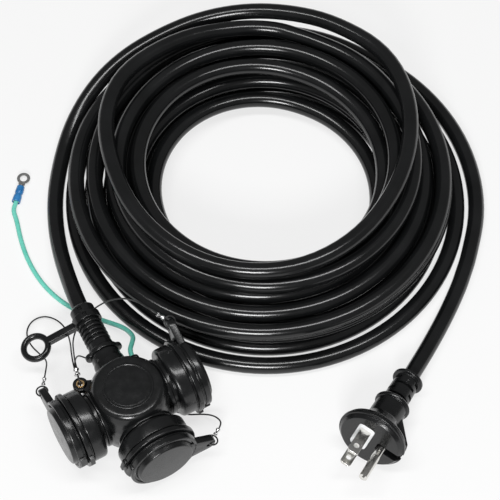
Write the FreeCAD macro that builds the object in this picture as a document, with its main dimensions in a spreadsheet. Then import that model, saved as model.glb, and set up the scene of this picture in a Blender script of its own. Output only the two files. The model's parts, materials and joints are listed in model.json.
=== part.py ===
"""Outdoor extension cord: a rainproof three-outlet tap, ten metres of coiled cord and a folding-earth plug.

The origin is on the surface that the tap lies on, under the middle of the tap's footprint. Z is up.
Every length is in millimetres, and each one that can be set by itself is a cell of the Sizes sheet.
"""

import FreeCAD, Part
import math
import os

import Sketcher
from FreeCAD import Placement, Rotation, Vector

SIZES = {
    # The tap's hub and its four arms
    "footprint_x": 6.72,  # the hub's axis from the middle of the tap's footprint
    "footprint_y": -8.41,
    "cross_turn": 29.5,  # the turn of the whole cross of outlets, in degrees
    "hub_radius": 22.6,
    "hub_flat_radius": 17.3,
    "hub_half_height": 19.2,
    "hub_band_half": 7.0,
    "hub_shoulder_radius": 20.8,
    "hub_shoulder_height": 14.0,
    "neck_radius": 14.8,
    "bead_start": 18.4,  # the bead round each neck
    "bead_end": 20.8,
    "bead_radius": 16.2,
    # A barrel and its mouth, along its outlet's axis from the hub's axis
    "barrel_back": 23.0,
    "barrel_round": 4.0,
    "barrel_front": 31.2,
    "barrel_radius": 19.9,
    "barrel_wall_groove": 1.2,
    "groove_width": 0.9,
    "mouth_ring_radius": 21.3,
    "mouth_ring_width": 2.9,
    "lip_radius": 17.3,
    "lip_length": 1.9,
    "mouth_radius": 15.7,
    "face_recess": 2.6,
    # The outlet insert and the hub block that it seats on
    "block_half": 14.0,
    "block_half_height": 9.5,
    "stem_radius": 13.0,
    "head_back": 26.0,
    "moulded_fit": 0.1,  # the radial clearance of a piece that is moulded or pressed into another
    # The contacts and the blades that they take
    "blade_width": 6.3,
    "blade_thickness": 1.5,
    "blade_spacing": 12.7,
    "blade_length": 17.0,
    "blade_hole_radius": 1.55,
    "blade_hole_back": 5.0,
    "earth_offset": 11.9,
    "earth_pin_radius": 2.4,
    "earth_pin_reach": 22.0,
    "blade_line_height": 4.5,  # the blade slots' line over the outlet's axis
    "slot_play": 0.5,
    "contact_length": 16.5,
    "contact_height": 7.0,
    "leaf": 0.6,
    "leaf_gap": 1.7,
    "bus_thickness": 1.2,
    "bus_width": 3.0,
    "bus_half": 8.0,
    "line_bus_height": 0.8,
    "neutral_bus_height": 3.4,
    "earth_bus_height": -6.4,
    "core_spread": 3.4,  # how far the outer cores lie from the cord arm's middle at the block
    "core_stand_off": 0.45,
    "bore_overrun": 1.0,  # how far inside the block's hollow the bores of the cord arm and the boss start
    "wire_stand_off": 1.2,  # how far from the block the earth lead starts
    # A cap
    "cap_gap": 0.3,  # from the cap to the mouth that it closes
    "cap_radius": 19.8,
    "cap_plate": 3.0,
    "cap_disc_radius": 17.1,
    "cap_disc_rise": 2.1,
    "skirt_play": 0.35,
    "spigot_play": 0.4,
    "spigot_wall": 1.8,
    "gasket_width": 1.4,
    "gasket_depth": 1.0,
    "gasket_proud": 0.1,
    "tab_reach": 27.6,
    "tab_end_radius": 4.2,
    "tab_root_half": 6.8,
    "tab_thickness": 4.2,
    "tab_hole_radius": 1.5,
    "lug_width": 7.0,
    "lug_rise": 1.1,
    # The tethers of the caps
    "tether_radius": 0.45,
    "tether_gather": 0.72,  # how far each of the three wires lies from the middle of their shared crimp
    "loop_radius": 3.1,
    "eyelet_loop_radius": 2.9,
    "crimp_radius": 1.15,
    "crimp_length": 4.5,
    "eyelet_crimp_radius": 1.7,
    "crimp_stand_off": 0.25,
    "crimp_lean": 35.0,  # degrees, back towards the hub
    # The ear and its eyelet
    "ear_stand_off": 4.6,  # the eyelet's middle out from the hub
    "ear_lift": 8.0,
    "ear_angle": 166.5,
    "ear_radius": 4.2,
    "ear_thickness": 3.4,
    "ear_web": 6.0,
    "eyelet_bore": 1.6,
    "eyelet_wall": 0.4,
    "eyelet_flange": 2.7,
    "eyelet_flange_thickness": 0.35,
    "eyelet_loop_turn": 107.0,
    "eyelet_crimp_length": 4.0,
    # The medallion on top of the hub
    "medallion_radius": 13.8,
    "medallion_rise": 0.9,
    "medallion_sink": 1.0,
    "medallion_disc": 10.3,
    # The cord arm and the strain relief, along the arm from the hub's axis
    "arm_radius": 9.0,
    "arm_step": 28.0,
    "arm_step_radius": 8.4,
    "arm_end": 33.3,
    "relief_root": 22.0,
    "relief_root_radius": 7.0,
    "relief_root_wall": 1.0,
    "relief_flange_radius": 8.6,
    "relief_flange": 2.7,
    "relief_lobe_radius": 3.3,
    "relief_lobe_reach": 7.5,
    "relief_neck_radius": 6.6,
    "ribs_start": 41.0,
    "rib_radius": 7.2,
    "rib_depth": 1.2,
    "rib_width": 1.6,
    "rib_gap": 1.2,
    "ribs": 5,
    "band_start": 55.0,
    "band_width": 4.6,
    "band_seat_radius": 6.4,
    "band_wall": 1.7,
    "collar_radius": 7.0,
    "relief_end": 66.0,
    "notch_width": 2.6,
    "notch_depth": 1.5,
    "cord_end": 30.0,  # the cut end of the sheath inside the strain relief
    # The hanging ring on its strap
    "strap_width": 4.4,
    "strap_thickness": 3.6,
    "strap_droop": 11.0,  # degrees
    "ring_distance": 32.0,
    "ring_radius": 8.7,
    "ring_bore": 5.2,
    "ring_thickness": 4.4,
    "ring_round": 1.2,
    # The earth lead
    "boss_offset": 13.0,
    "boss_radius": 3.4,
    "boss_end": 25.0,
    "boss_drop": 0.0,
    "earth_wire_radius": 1.4,
    "sleeve_radius": 2.6,
    "sleeve_wall": 0.5,
    "sleeve_length": 11.0,
    "ferrule_wall": 0.45,
    "tongue_thickness": 0.8,
    "tongue_reach": 17.0,
    "tongue_radius": 3.9,
    "tongue_hole": 2.15,
    # The cord
    "cord_radius": 4.75,
    "core_radius": 1.7,
    "core_ring": 2.05,  # how far each core lies from the cord's middle
    "cord_fit": 0.12,
    # The coil
    "coil_x": 74.5,  # the coil's middle from the hub's axis
    "coil_y": 149.5,
    "coil_outer": 121.5,
    "coil_pitch": 11.2,
    "coil_step": 9.95,
    "coil_start": -20.0,  # degrees
    # The plug, along its own axis: x runs out of its face, y towards its earth pin
    "plug_x": 130.6,
    "plug_y": -20.0,
    "plug_height": 19.2,
    "plug_heading": 241.2,  # degrees
    "plug_tilt": 12.0,
    "plug_roll": 12.0,
    "plug_face_radius": 17.0,
    "plug_flange_radius": 19.5,
    "plug_flange_middle": 3.0,
    "plug_flange_back": 6.6,
    "plug_tube_radius": 9.2,
    "plug_flare": 14.0,
    "plug_ring_back": 30.0,
    "plug_ring_width": 2.8,
    "plug_ring_radius": 10.3,
    "plug_grip_radius": 7.0,
    "plug_end_ring_radius": 8.8,
    "plug_end_ring_width": 2.4,
    "plug_end": 50.0,
    "plug_cord_end": 26.0,
    "plug_cavity_front": 8.2,
    "plug_cavity_radius": 7.7,
    "blade_shift": 4.7,  # the blades' middle from the plug's axis, away from the earth pin
    "insert_width": 9.6,
    "insert_height": 19.6,
    "blade_crimp_radius": 1.9,
    "blade_crimp_length": 6.0,
    "blade_crimp_y": -2.5,
    "blade_crimp_z": 5.0,
    "blade_tail_width": 2.4,
    "blade_tail_thickness": 0.8,
    "earth_crimp_y": 5.0,
    "earth_strip_half": 1.3,
    "hinge_depth": 3.6,
    "hinge_radius": 1.0,
    "hinge_play": 0.05,
    "hinge_length": 12.0,
    "knuckle_radius": 2.6,
    "knuckle_height": 5.0,
    "slot_side_play": 0.3,
    "slot_depth": 6.6,
    "wedge_back": 22.0,
    "wedge_corner": 9.4,
    "wedge_half": 4.0,
    "wedge_reach": 19.6,
    "stop_radius": 0.8,
    "stop_y": 17.4,
    "stop_proud": 0.25,
}

OUTLET_TURNS = {"left": 180.0, "front": 270.0, "right": 0.0}  # each outlet's turn in the cross
TAB_TURNS = {"left": 183.5, "front": -15.0, "right": 39.0}  # each cap's turn about its own axis
CORD_ARM_TURN = 87.0
NOTHING = 1e-9
STRAIGHT = 1e-4  # half the turn, in radians, below which a corner of a route is no corner


class Size:
    """A length with its value now and the words that bind it to the sheet."""

    def __init__(self, value, words):
        self.value = float(value)
        self.words = words

    def joined(self, other, sign, value):
        return Size(value, f"({self.words} {sign} {as_size(other).words})")

    def __add__(self, other):
        return self.joined(other, "+", self.value + float(as_size(other)))

    def __sub__(self, other):
        return self.joined(other, "-", self.value - float(as_size(other)))

    def __mul__(self, other):
        return self.joined(other, "*", self.value * float(as_size(other)))

    def __truediv__(self, other):
        return self.joined(other, "/", self.value / float(as_size(other)))

    def __radd__(self, other):
        return as_size(other) + self

    def __rsub__(self, other):
        return as_size(other) - self

    def __rmul__(self, other):
        return as_size(other) * self

    def __neg__(self):
        return Size(-self.value, f"(-1 * {self.words})")

    def __float__(self):
        return self.value


def as_size(number):
    """A plain number as a size, and a size as it is."""
    return number if isinstance(number, Size) else Size(number, repr(float(number)))


def lesser(first, second):
    """The lesser of two sizes."""
    return Size(min(first.value, second.value), f"min({first.words}; {second.words})")


doc = FreeCAD.newDocument("ExtensionCord")
sheet = doc.addObject("Spreadsheet::Sheet", "Sizes")
for row, (alias, number) in enumerate(SIZES.items(), start=1):
    sheet.set(f"A{row}", alias)
    sheet.set(f"B{row}", str(number))
    sheet.setAlias(f"B{row}", alias)
doc.recompute()


class Cells:
    """Reads the sheet's cells by their aliases."""

    def __getattr__(self, alias):
        return Size(getattr(sheet, alias), f"Sizes.{alias}")


c = Cells()
nodes = {}  # node name: object


def bind(thing, **sizes):
    """Binds properties of an object to the sheet."""
    for name, value in sizes.items():
        thing.setExpression(name, as_size(value).words)


def keep(name, thing, place=None):
    """Makes an object a sub-part with its own label and place."""
    thing.Label = name
    if place is not None:
        thing.Placement = place
    nodes[name] = thing
    return thing


# Places


def at(x=0.0, y=0.0, z=0.0, rotation=None):
    return Placement(Vector(float(x), float(y), float(z)), rotation or Rotation())


def turn(degrees, axis=Vector(0, 0, 1)):
    return Placement(Vector(), Rotation(axis, float(degrees)))


X_AXIS, Y_AXIS, Z_AXIS = Vector(1, 0, 0), Vector(0, 1, 0), Vector(0, 0, 1)
ALONG_X = Rotation(Y_AXIS, 90)  # lays a cylinder's axis along X
HUB = at(c.footprint_x, c.footprint_y, c.mouth_ring_radius)  # the tap lies on its mouth rings


def arm_place(turn_in_cross):
    """The frame of an arm: X runs out along it from the hub's axis."""
    return HUB.multiply(turn(c.cross_turn + turn_in_cross))


# Building blocks


def group(kind, name, parts):
    thing = doc.addObject(kind, name)
    thing.Shapes = parts
    return thing


def fuse(name, *parts):
    return group("Part::MultiFuse", name, list(parts))


def cut(name, base, tool):
    thing = doc.addObject("Part::Cut", name)
    thing.Base = base
    thing.Tool = tool
    return thing


def box(name, x, y, z, long, wide, high, place=None):
    """A box from its lowest corner."""
    thing = doc.addObject("Part::Box", name)
    bind(thing, Length=long, Width=wide, Height=high)
    thing.Placement = (place or Placement()).multiply(at(x, y, z))
    return thing


def rod(name, start, length, radius, y=0.0, z=0.0, place=None, rotation=ALONG_X):
    """A cylinder along X, or another way, from its start."""
    thing = doc.addObject("Part::Cylinder", name)
    bind(thing, Radius=radius, Height=length)
    thing.Placement = (place or Placement()).multiply(at(start, y, z, rotation))
    return thing


def upright(name, x, y, bottom, height, radius, place=None):
    """A cylinder along Z."""
    return rod(name, x, height, radius, y, bottom, place, Rotation())


def sketch_outline(body, role, points, name):
    """A closed outline of straight lines on one of a body's own planes, each corner bound to the sheet."""
    sketch = body.newObject("Sketcher::SketchObject", name)
    plane = next(f for f in body.Origin.OriginFeatures if f.Role == role)
    sketch.AttachmentSupport = [(plane, "")]
    sketch.MapMode = "FlatFace"
    corners = [(as_size(x), as_size(y)) for x, y in points]
    count = len(corners)
    for i, (x, y) in enumerate(corners):
        next_x, next_y = corners[(i + 1) % count]
        start, end = Vector(x.value, y.value, 0), Vector(next_x.value, next_y.value, 0)
        sketch.addGeometry(Part.LineSegment(start, end), False)
    for i in range(count):
        sketch.addConstraint(Sketcher.Constraint("Coincident", i, 2, (i + 1) % count, 1))
    for i, (x, y) in enumerate(corners):
        for kind, size, axis in (("DistanceX", x, -2), ("DistanceY", y, -1)):
            if abs(size.value) < NOTHING:
                sketch.addConstraint(Sketcher.Constraint("PointOnObject", i, 1, axis))
            else:
                at_row = sketch.addConstraint(Sketcher.Constraint(kind, -1, 1, i, 1, size.value))
                sketch.setExpression(f"Constraints[{at_row}]", size.words)
    return sketch


def turned(name, points):
    """A body turned about its own X axis from an outline above that axis."""
    body = doc.addObject("PartDesign::Body", name)
    sketch = sketch_outline(body, "XY_Plane", points, name + "_outline")
    solid = body.newObject("PartDesign::Revolution", name + "_turned")
    solid.Profile = sketch
    solid.ReferenceAxis = (sketch, ["H_Axis"])
    solid.Angle = 360.0
    doc.recompute()
    return body


def round_rings(body, radius, rings):
    """Rounds the ring edges that lie at the given places along X and radii."""
    solid = body.Tip
    names = []
    for number, edge in enumerate(solid.Shape.Edges, start=1):
        curve = edge.Curve
        if not isinstance(curve, Part.Circle):
            continue
        for x, ring_radius in rings:
            near = abs(curve.Center.x - float(x)) < 1e-4 and abs(curve.Radius - float(ring_radius)) < 1e-4
            if near:
                names.append(f"Edge{number}")
    fillet = body.newObject("PartDesign::Fillet", body.Name + "_round")
    fillet.Base = (solid, names)
    bind(fillet, Radius=radius)
    body.Tip = fillet
    doc.recompute()
    return body


def prism(name, role, points, length):
    """A body raised both ways from an outline on one of its own planes."""
    body = doc.addObject("PartDesign::Body", name)
    sketch = sketch_outline(body, role, points, name + "_outline")
    pad = body.newObject("PartDesign::Pad", name + "_pad")
    pad.Profile = sketch
    pad.Midplane = True
    bind(pad, Length=length)
    doc.recompute()
    return body


def formed(name, shape, place=None):
    """A piece whose shape follows a path, with its place set after its shape."""
    thing = doc.addObject("Part::Feature", name)
    thing.Shape = shape
    if place is not None:
        thing.Placement = place
    return thing


# Wires and cords


def rounded_route(points):
    """Straight runs joined by tangent arcs, each arc as large as its two runs allow, and the least radius."""
    edges, last, least = [], points[0], math.inf
    for before, corner, after in zip(points, points[1:], points[2:]):
        run_in, run_out = (before - corner), (after - corner)
        half_turn = (math.pi - run_in.getAngle(run_out)) / 2
        if half_turn < STRAIGHT:
            continue
        reach = 0.45 * min(run_in.Length, run_out.Length)
        radius = reach / math.tan(half_turn)
        way_in, way_out = Vector(run_in).normalize(), Vector(run_out).normalize()
        start, end = corner + way_in * reach, corner + way_out * reach
        towards = (way_in + way_out).normalize()
        middle = corner + towards * (radius / math.cos(half_turn) - radius)
        edges.append(Part.LineSegment(last, start).toShape())
        edges.append(Part.Arc(start, middle, end).toShape())
        last, least = end, min(least, radius)
    edges.append(Part.LineSegment(last, points[-1]).toShape())
    return Part.Wire(edges), least


def swept(path, radius):
    """A round tube along a path."""
    start = path.Edges[0]
    direction = start.tangentAt(start.FirstParameter)
    ring = Part.Wire(Part.makeCircle(radius, start.valueAt(start.FirstParameter), direction))
    return path.makePipeShell([ring], True, False)


def free_wire(name, points, radius):
    """A tube along a route that lies free, with its radii and volume printed."""
    path, least = rounded_route([Vector(*p) for p in points])
    tube = swept(path, float(radius))
    share = tube.Volume / (path.Length * math.pi * float(radius) ** 2)
    print(f"{name}: length {path.Length:.1f}, least radius {least:.1f}, volume {share:.4f} of expected")
    return tube


def biarc(start, start_way, end, end_way):
    """Two arcs that meet smoothly and take one point and direction to another."""
    chord, ways = end - start, start_way + end_way
    a = 2 * (1 - start_way.dot(end_way))
    b = chord.dot(ways)
    reach = chord.dot(chord) / (2 * b) if a < NOTHING else (math.sqrt(b * b + a * chord.dot(chord)) - b) / a
    middle = (start + start_way * reach + end - end_way * reach) * 0.5
    return [arc_from(start, start_way, middle), arc_from(middle, None, end, end_way)]


def arc_from(start, way, end, end_way=None):
    """The arc between two points with a given direction at its start or its end."""
    chord = end - start
    known = way if way is not None else -end_way
    origin, target = (start, end) if way is not None else (end, start)
    span = target - origin
    side = span - known * span.dot(known)
    if side.Length < 1e-7:
        return Part.LineSegment(start, end).toShape()
    side.normalize()
    radius = chord.dot(chord) / (2 * span.dot(side))
    centre = origin + side * radius
    middle = centre + ((start + end) * 0.5 - centre).normalize() * radius
    return Part.Arc(start, middle, end).toShape()


# The tap's moulded body

barrel_edge = c.barrel_front + c.groove_width
mouth_face = barrel_edge + c.mouth_ring_width
lip_end = mouth_face + c.lip_length
face = lip_end - c.face_recess
insert_radius = c.mouth_radius - c.moulded_fit

hub = turned(
    "hub_solid",
    [
        (-c.hub_half_height, 0.0),
        (-c.hub_half_height, c.hub_flat_radius),
        (-c.hub_shoulder_height, c.hub_shoulder_radius),
        (-c.hub_band_half, c.hub_radius),
        (c.hub_band_half, c.hub_radius),
        (c.hub_shoulder_height, c.hub_shoulder_radius),
        (c.hub_half_height, c.hub_flat_radius),
        (c.hub_half_height, 0.0),
    ],
)
hub.Placement = HUB.multiply(Placement(Vector(), Rotation(Y_AXIS, -90)))
solid_parts, hollow_parts = [hub], []
barrel_round = lesser(c.barrel_round, (c.barrel_radius - c.neck_radius) * 0.9)

for side, its_turn in OUTLET_TURNS.items():
    place = arm_place(its_turn)
    barrel = turned(
        side + "_barrel",
        [
            (0.0, 0.0),
            (0.0, c.neck_radius),
            (c.bead_start, c.neck_radius),
            (c.bead_start, c.bead_radius),
            (c.bead_end, c.bead_radius),
            (c.bead_end, c.neck_radius),
            (c.barrel_back, c.neck_radius),
            (c.barrel_back, c.barrel_radius),
            (c.barrel_front, c.barrel_radius),
            (c.barrel_front, c.barrel_radius - c.barrel_wall_groove),
            (barrel_edge, c.barrel_radius - c.barrel_wall_groove),
            (barrel_edge, c.mouth_ring_radius),
            (mouth_face, c.mouth_ring_radius),
            (mouth_face, c.lip_radius),
            (lip_end, c.lip_radius),
            (lip_end, 0.0),
        ],
    )
    round_rings(barrel, barrel_round, [(c.barrel_back, c.barrel_radius)])
    barrel.Placement = place
    solid_parts.append(barrel)
    hollow = turned(
        side + "_hollow",
        [
            (c.block_half, 0.0),
            (c.block_half, c.stem_radius + c.moulded_fit),
            (c.head_back, c.stem_radius + c.moulded_fit),
            (c.head_back, c.mouth_radius),
            (lip_end, c.mouth_radius),
            (lip_end, 0.0),
        ],
    )
    hollow.Placement = place
    hollow_parts.append(hollow)

arm = arm_place(CORD_ARM_TURN)
solid_parts.append(rod("arm_solid", 0.0, c.arm_step, c.arm_radius, place=arm))
solid_parts.append(rod("arm_step_solid", 0.0, c.arm_end, c.arm_step_radius, place=arm))
hollow_parts.append(
    rod(
        "arm_hollow",
        c.block_half - c.bore_overrun,
        c.arm_end - c.block_half + c.bore_overrun,
        c.relief_root_radius + c.moulded_fit,
        place=arm,
    )
)

ear_place = HUB.multiply(turn(c.ear_angle)).multiply(at(z=c.ear_lift))
ear_distance = c.hub_radius + c.ear_stand_off
eyelet_outer = c.eyelet_bore + c.eyelet_wall
ear_bottom = -(c.ear_thickness / 2)
solid_parts.append(
    box(
        "ear_web_solid",
        c.hub_radius - c.ear_radius,
        -(c.ear_web / 2),
        ear_bottom,
        ear_distance - c.hub_radius + c.ear_radius,
        c.ear_web,
        c.ear_thickness,
        ear_place,
    )
)
solid_parts.append(
    upright("ear_disc", ear_distance, 0.0, ear_bottom, c.ear_thickness, c.ear_radius, ear_place)
)
hollow_parts.append(
    upright(
        "ear_hole",
        ear_distance,
        0.0,
        ear_bottom,
        c.ear_thickness,
        eyelet_outer + c.moulded_fit,
        ear_place,
    )
)
solid_parts.append(
    rod("boss_solid", 0.0, c.boss_end, c.boss_radius, -c.boss_offset, -c.boss_drop, arm)
)
hollow_parts.append(
    rod(
        "boss_hole",
        c.block_half - c.bore_overrun,
        c.boss_end - c.block_half + c.bore_overrun,
        c.earth_wire_radius + c.moulded_fit,
        -c.boss_offset,
        -c.boss_drop,
        arm,
    )
)
hollow_parts.append(
    box(
        "block_hollow",
        -c.block_half,
        -c.block_half,
        -c.block_half_height,
        c.block_half * 2,
        c.block_half * 2,
        c.block_half_height * 2,
        arm_place(0.0),
    )
)
medallion_floor = c.hub_half_height - c.medallion_sink
hollow_parts.append(
    upright(
        "medallion_seat",
        0.0,
        0.0,
        medallion_floor,
        c.medallion_sink,
        c.medallion_radius + c.moulded_fit,
        HUB,
    )
)
keep(
    "tap_body",
    cut("tap_body_cut", fuse("tap_body_outer", *solid_parts), fuse("tap_body_hollows", *hollow_parts)),
)

medallion_top = c.hub_half_height + c.medallion_rise
keep(
    "medallion",
    cut(
        "medallion_cut",
        upright(
            "medallion_plate",
            0.0,
            0.0,
            medallion_floor,
            medallion_top - medallion_floor,
            c.medallion_radius,
            HUB,
        ),
        upright(
            "medallion_dish",
            0.0,
            0.0,
            medallion_top - c.leaf,
            c.leaf,
            c.medallion_disc,
            HUB,
        ),
    ),
)

# The three outlets: insert, contacts, cap, gasket and the cap's end of its tether

blade_half = c.blade_spacing / 2
contact_width = c.leaf_gap + c.leaf * 2
contact_end = c.block_half + c.contact_length
earth_height = c.blade_line_height - c.earth_offset
earth_contact_bore = c.earth_pin_radius + c.moulded_fit
earth_contact_outer = earth_contact_bore + c.leaf
plate_inner = lip_end + c.cap_gap
plate_outer = plate_inner + c.cap_plate
skirt_inner = c.lip_radius + c.skirt_play
skirt_start = mouth_face + c.cap_gap
spigot_outer = c.mouth_radius - c.spigot_play
spigot_start = face + c.cap_gap
gasket_inner = (c.lip_radius + c.mouth_radius - c.gasket_width) / 2
gasket_outer = gasket_inner + c.gasket_width
gasket_start = plate_inner - c.gasket_proud
gasket_end = plate_inner + c.gasket_depth
CONTACTS = {"line": 1.0, "neutral": -1.0}

for side, its_turn in OUTLET_TURNS.items():
    place = arm_place(its_turn)
    insert = turned(
        side + "_insert_solid",
        [
            (c.block_half, 0.0),
            (c.block_half, c.stem_radius),
            (c.head_back, c.stem_radius),
            (c.head_back, insert_radius),
            (face, insert_radius),
            (face, 0.0),
        ],
    )
    pockets = []
    for name, hand in CONTACTS.items():
        middle = blade_half * hand
        pocket_half = contact_width / 2 + c.moulded_fit
        pocket_high = c.contact_height + c.moulded_fit * 2
        pockets.append(
            box(
                f"{side}_{name}_pocket",
                c.block_half,
                middle - pocket_half,
                c.blade_line_height - pocket_high / 2,
                c.contact_length,
                pocket_half * 2,
                pocket_high,
            )
        )
        slot_wide = c.blade_thickness + c.slot_play
        slot_high = c.blade_width + c.slot_play
        pockets.append(
            box(
                f"{side}_{name}_slot",
                c.block_half,
                middle - slot_wide / 2,
                c.blade_line_height - slot_high / 2,
                face - c.block_half,
                slot_wide,
                slot_high,
            )
        )
    pockets.append(
        rod(
            side + "_earth_pocket",
            c.block_half,
            c.contact_length,
            earth_contact_outer + c.moulded_fit,
            z=earth_height,
        )
    )
    pockets.append(
        rod(
            side + "_earth_slot",
            c.block_half,
            face - c.block_half,
            earth_contact_bore,
            z=earth_height,
        )
    )
    pocket_group = fuse(side + "_pockets", *pockets)
    keep(side + "_insert", cut(side + "_insert_cut", insert, pocket_group), place)

    for name, hand in CONTACTS.items():
        middle = blade_half * hand
        contact_bottom = c.blade_line_height - c.contact_height / 2
        strip = box(
            f"{side}_{name}_strip",
            c.block_half,
            middle - contact_width / 2,
            contact_bottom,
            c.contact_length,
            contact_width,
            c.contact_height,
        )
        throat = box(
            f"{side}_{name}_throat",
            c.block_half + c.leaf,
            middle - c.leaf_gap / 2,
            contact_bottom,
            c.contact_length - c.leaf,
            c.leaf_gap,
            c.contact_height,
        )
        keep(f"{side}_{name}_contact", cut(f"{side}_{name}_contact_cut", strip, throat), place)
    earth = turned(
        side + "_earth_contact_body",
        [
            (c.block_half, 0.0),
            (c.block_half, earth_contact_outer),
            (contact_end, earth_contact_outer),
            (contact_end, earth_contact_bore),
            (c.block_half + c.leaf, earth_contact_bore),
            (c.block_half + c.leaf, 0.0),
        ],
    )
    keep(side + "_earth_contact", earth, place.multiply(at(z=earth_height)))

    cap_solid = turned(
        side + "_cap_solid",
        [
            (spigot_start, spigot_outer - c.spigot_wall),
            (spigot_start, spigot_outer),
            (plate_inner, spigot_outer),
            (plate_inner, gasket_inner - c.moulded_fit),
            (gasket_end, gasket_inner - c.moulded_fit),
            (gasket_end, gasket_outer + c.moulded_fit),
            (plate_inner, gasket_outer + c.moulded_fit),
            (plate_inner, skirt_inner),
            (skirt_start, skirt_inner),
            (skirt_start, c.cap_radius),
            (plate_outer, c.cap_radius),
            (plate_outer, c.cap_disc_radius),
            (plate_outer + c.cap_disc_rise, c.cap_disc_radius - c.cap_disc_rise),
            (plate_outer + c.cap_disc_rise, 0.0),
            (plate_inner, 0.0),
            (plate_inner, spigot_outer - c.spigot_wall),
        ],
    )
    tab_turn = turn(TAB_TURNS[side], X_AXIS)
    tab_back = plate_outer - c.tab_thickness
    tab_root = (skirt_inner + c.cap_radius) / 2
    web = prism(
        side + "_tab_web",
        "YZ_Plane",
        [
            (tab_root, -c.tab_root_half),
            (c.tab_reach, -c.tab_end_radius),
            (c.tab_reach, c.tab_end_radius),
            (tab_root, c.tab_root_half),
        ],
        c.tab_thickness,
    )
    web.Placement = tab_turn.multiply(at((tab_back + plate_outer) / 2))
    tab_parts = [
        web,
        rod(
            side + "_tab_end",
            tab_back,
            c.tab_thickness,
            c.tab_end_radius,
            c.tab_reach,
            place=tab_turn,
        ),
        box(
            side + "_lug",
            tab_back,
            -(c.cap_radius + c.lug_rise),
            -(c.lug_width / 2),
            c.tab_thickness,
            c.lug_rise * 2,
            c.lug_width,
            tab_turn,
        ),
    ]
    cap_whole = fuse(side + "_cap_whole", cap_solid, *tab_parts)
    tab_hole = rod(
        side + "_tab_hole",
        tab_back,
        c.tab_thickness,
        c.tab_hole_radius,
        c.tab_reach,
        place=tab_turn,
    )
    keep(side + "_cap", cut(side + "_cap_cut", cap_whole, tab_hole), place)
    gasket = turned(
        side + "_gasket_body",
        [
            (gasket_start, gasket_inner),
            (gasket_start, gasket_outer),
            (gasket_end, gasket_outer),
            (gasket_end, gasket_inner),
        ],
    )
    keep(side + "_gasket", gasket, place)

    tab_middle = (tab_back + plate_outer) / 2
    loop_place = place.multiply(tab_turn).multiply(at(tab_middle, c.tab_reach + c.loop_radius))
    loop = doc.addObject("Part::Torus", side + "_loop_ring")
    bind(loop, Radius1=c.loop_radius, Radius2=c.tether_radius)
    keep(side + "_tether_loop", loop, loop_place)
    crimp = rod(
        side + "_crimp_rod",
        c.loop_radius + c.tether_radius + c.crimp_stand_off,
        c.crimp_length,
        c.crimp_radius,
        place=loop_place.multiply(turn(90.0 + float(c.crimp_lean))),
    )
    keep(side + "_tether_crimp", crimp)

# Inside the hub: the block and the three bus bars

BUSES = {
    "line": (c.line_bus_height, 1.0),
    "neutral": (c.neutral_bus_height, -1.0),
    "earth": (c.earth_bus_height, 0.0),
}
CORE_SIDES = {"line": 1.0, "neutral": -1.0, "earth": 0.0}
block = box(
    "block_solid",
    -c.block_half,
    -c.block_half,
    -c.block_half_height,
    c.block_half * 2,
    c.block_half * 2,
    c.block_half_height * 2,
)
bus_bars = {}
for name, (height, hand) in BUSES.items():
    parts = [
        box(
            name + "_bus_plate",
            -c.bus_half,
            -c.bus_half,
            height,
            c.bus_half * 2,
            c.bus_half * 2,
            c.bus_thickness,
        )
    ]
    for side, its_turn in list(OUTLET_TURNS.items()) + [("cord", CORD_ARM_TURN)]:
        to_cord = side == "cord"
        across = c.core_spread * CORE_SIDES[name] if to_cord else blade_half * hand
        parts.append(
            box(
                f"{name}_bus_to_{side}",
                0.0,
                across - c.bus_width / 2,
                height,
                c.block_half + c.core_stand_off if to_cord else c.block_half,
                c.bus_width,
                c.bus_thickness,
                turn(its_turn),
            )
        )
    bus_bars[name] = fuse(name + "_bus_bar", *parts)
bus_group = fuse("bus_group", *bus_bars.values())
keep("hub_block", cut("hub_block_cut", block, bus_group), arm_place(0.0))
for name, bar in bus_bars.items():
    copy = doc.addObject("Part::Compound", name + "_bus_part")
    copy.Links = [bar]
    keep(name + "_bus", copy, arm_place(0.0))

# The strain relief, with its ribs cut by one groove that repeats

rib_pitch = c.rib_width + c.rib_gap
ribs_end = c.ribs_start + rib_pitch * c.ribs - c.rib_gap
flange_end = c.arm_end + c.relief_flange
collar_start = c.band_start + c.band_width
bore = c.cord_radius + c.cord_fit
relief = turned(
    "relief_solid",
    [
        (c.relief_root, c.relief_root_radius - c.relief_root_wall),
        (c.relief_root, c.relief_root_radius),
        (c.arm_end, c.relief_root_radius),
        (c.arm_end, c.relief_flange_radius),
        (flange_end, c.relief_flange_radius),
        (flange_end, c.relief_neck_radius),
        (c.ribs_start, c.rib_radius),
        (ribs_end, c.rib_radius),
        (ribs_end, c.band_seat_radius),
        (collar_start, c.band_seat_radius),
        (collar_start, c.collar_radius),
        (c.relief_end, c.collar_radius),
        (c.relief_end, bore),
        (c.cord_end, bore),
    ],
)
groove_start = c.ribs_start + c.rib_width
rib_sketch = sketch_outline(
    relief,
    "XY_Plane",
    [
        (groove_start, c.rib_radius - c.rib_depth),
        (groove_start, c.rib_radius + c.rib_depth),
        (groove_start + c.rib_gap, c.rib_radius + c.rib_depth),
        (groove_start + c.rib_gap, c.rib_radius - c.rib_depth),
    ],
    "rib_groove_outline",
)
groove = relief.newObject("PartDesign::Groove", "rib_groove")
groove.Profile = rib_sketch
groove.ReferenceAxis = (rib_sketch, ["H_Axis"])
groove.Angle = 360.0
doc.recompute()
pattern = relief.newObject("PartDesign::LinearPattern", "rib_grooves")
pattern.Originals = [groove]
pattern.Direction = (rib_sketch, ["H_Axis"])
pattern.Occurrences = int(float(c.ribs)) - 1
bind(pattern, Length=rib_pitch * (c.ribs - 2.0))
relief.Tip = pattern
doc.recompute()
lobes = [
    rod(f"relief_lobe_{hand}", c.arm_end, c.relief_flange, c.relief_lobe_radius, c.relief_lobe_reach * hand)
    for hand in (1, -1)
]
notches = [rod("relief_lobe_bore", c.arm_end, c.relief_flange, bore)]
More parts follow.
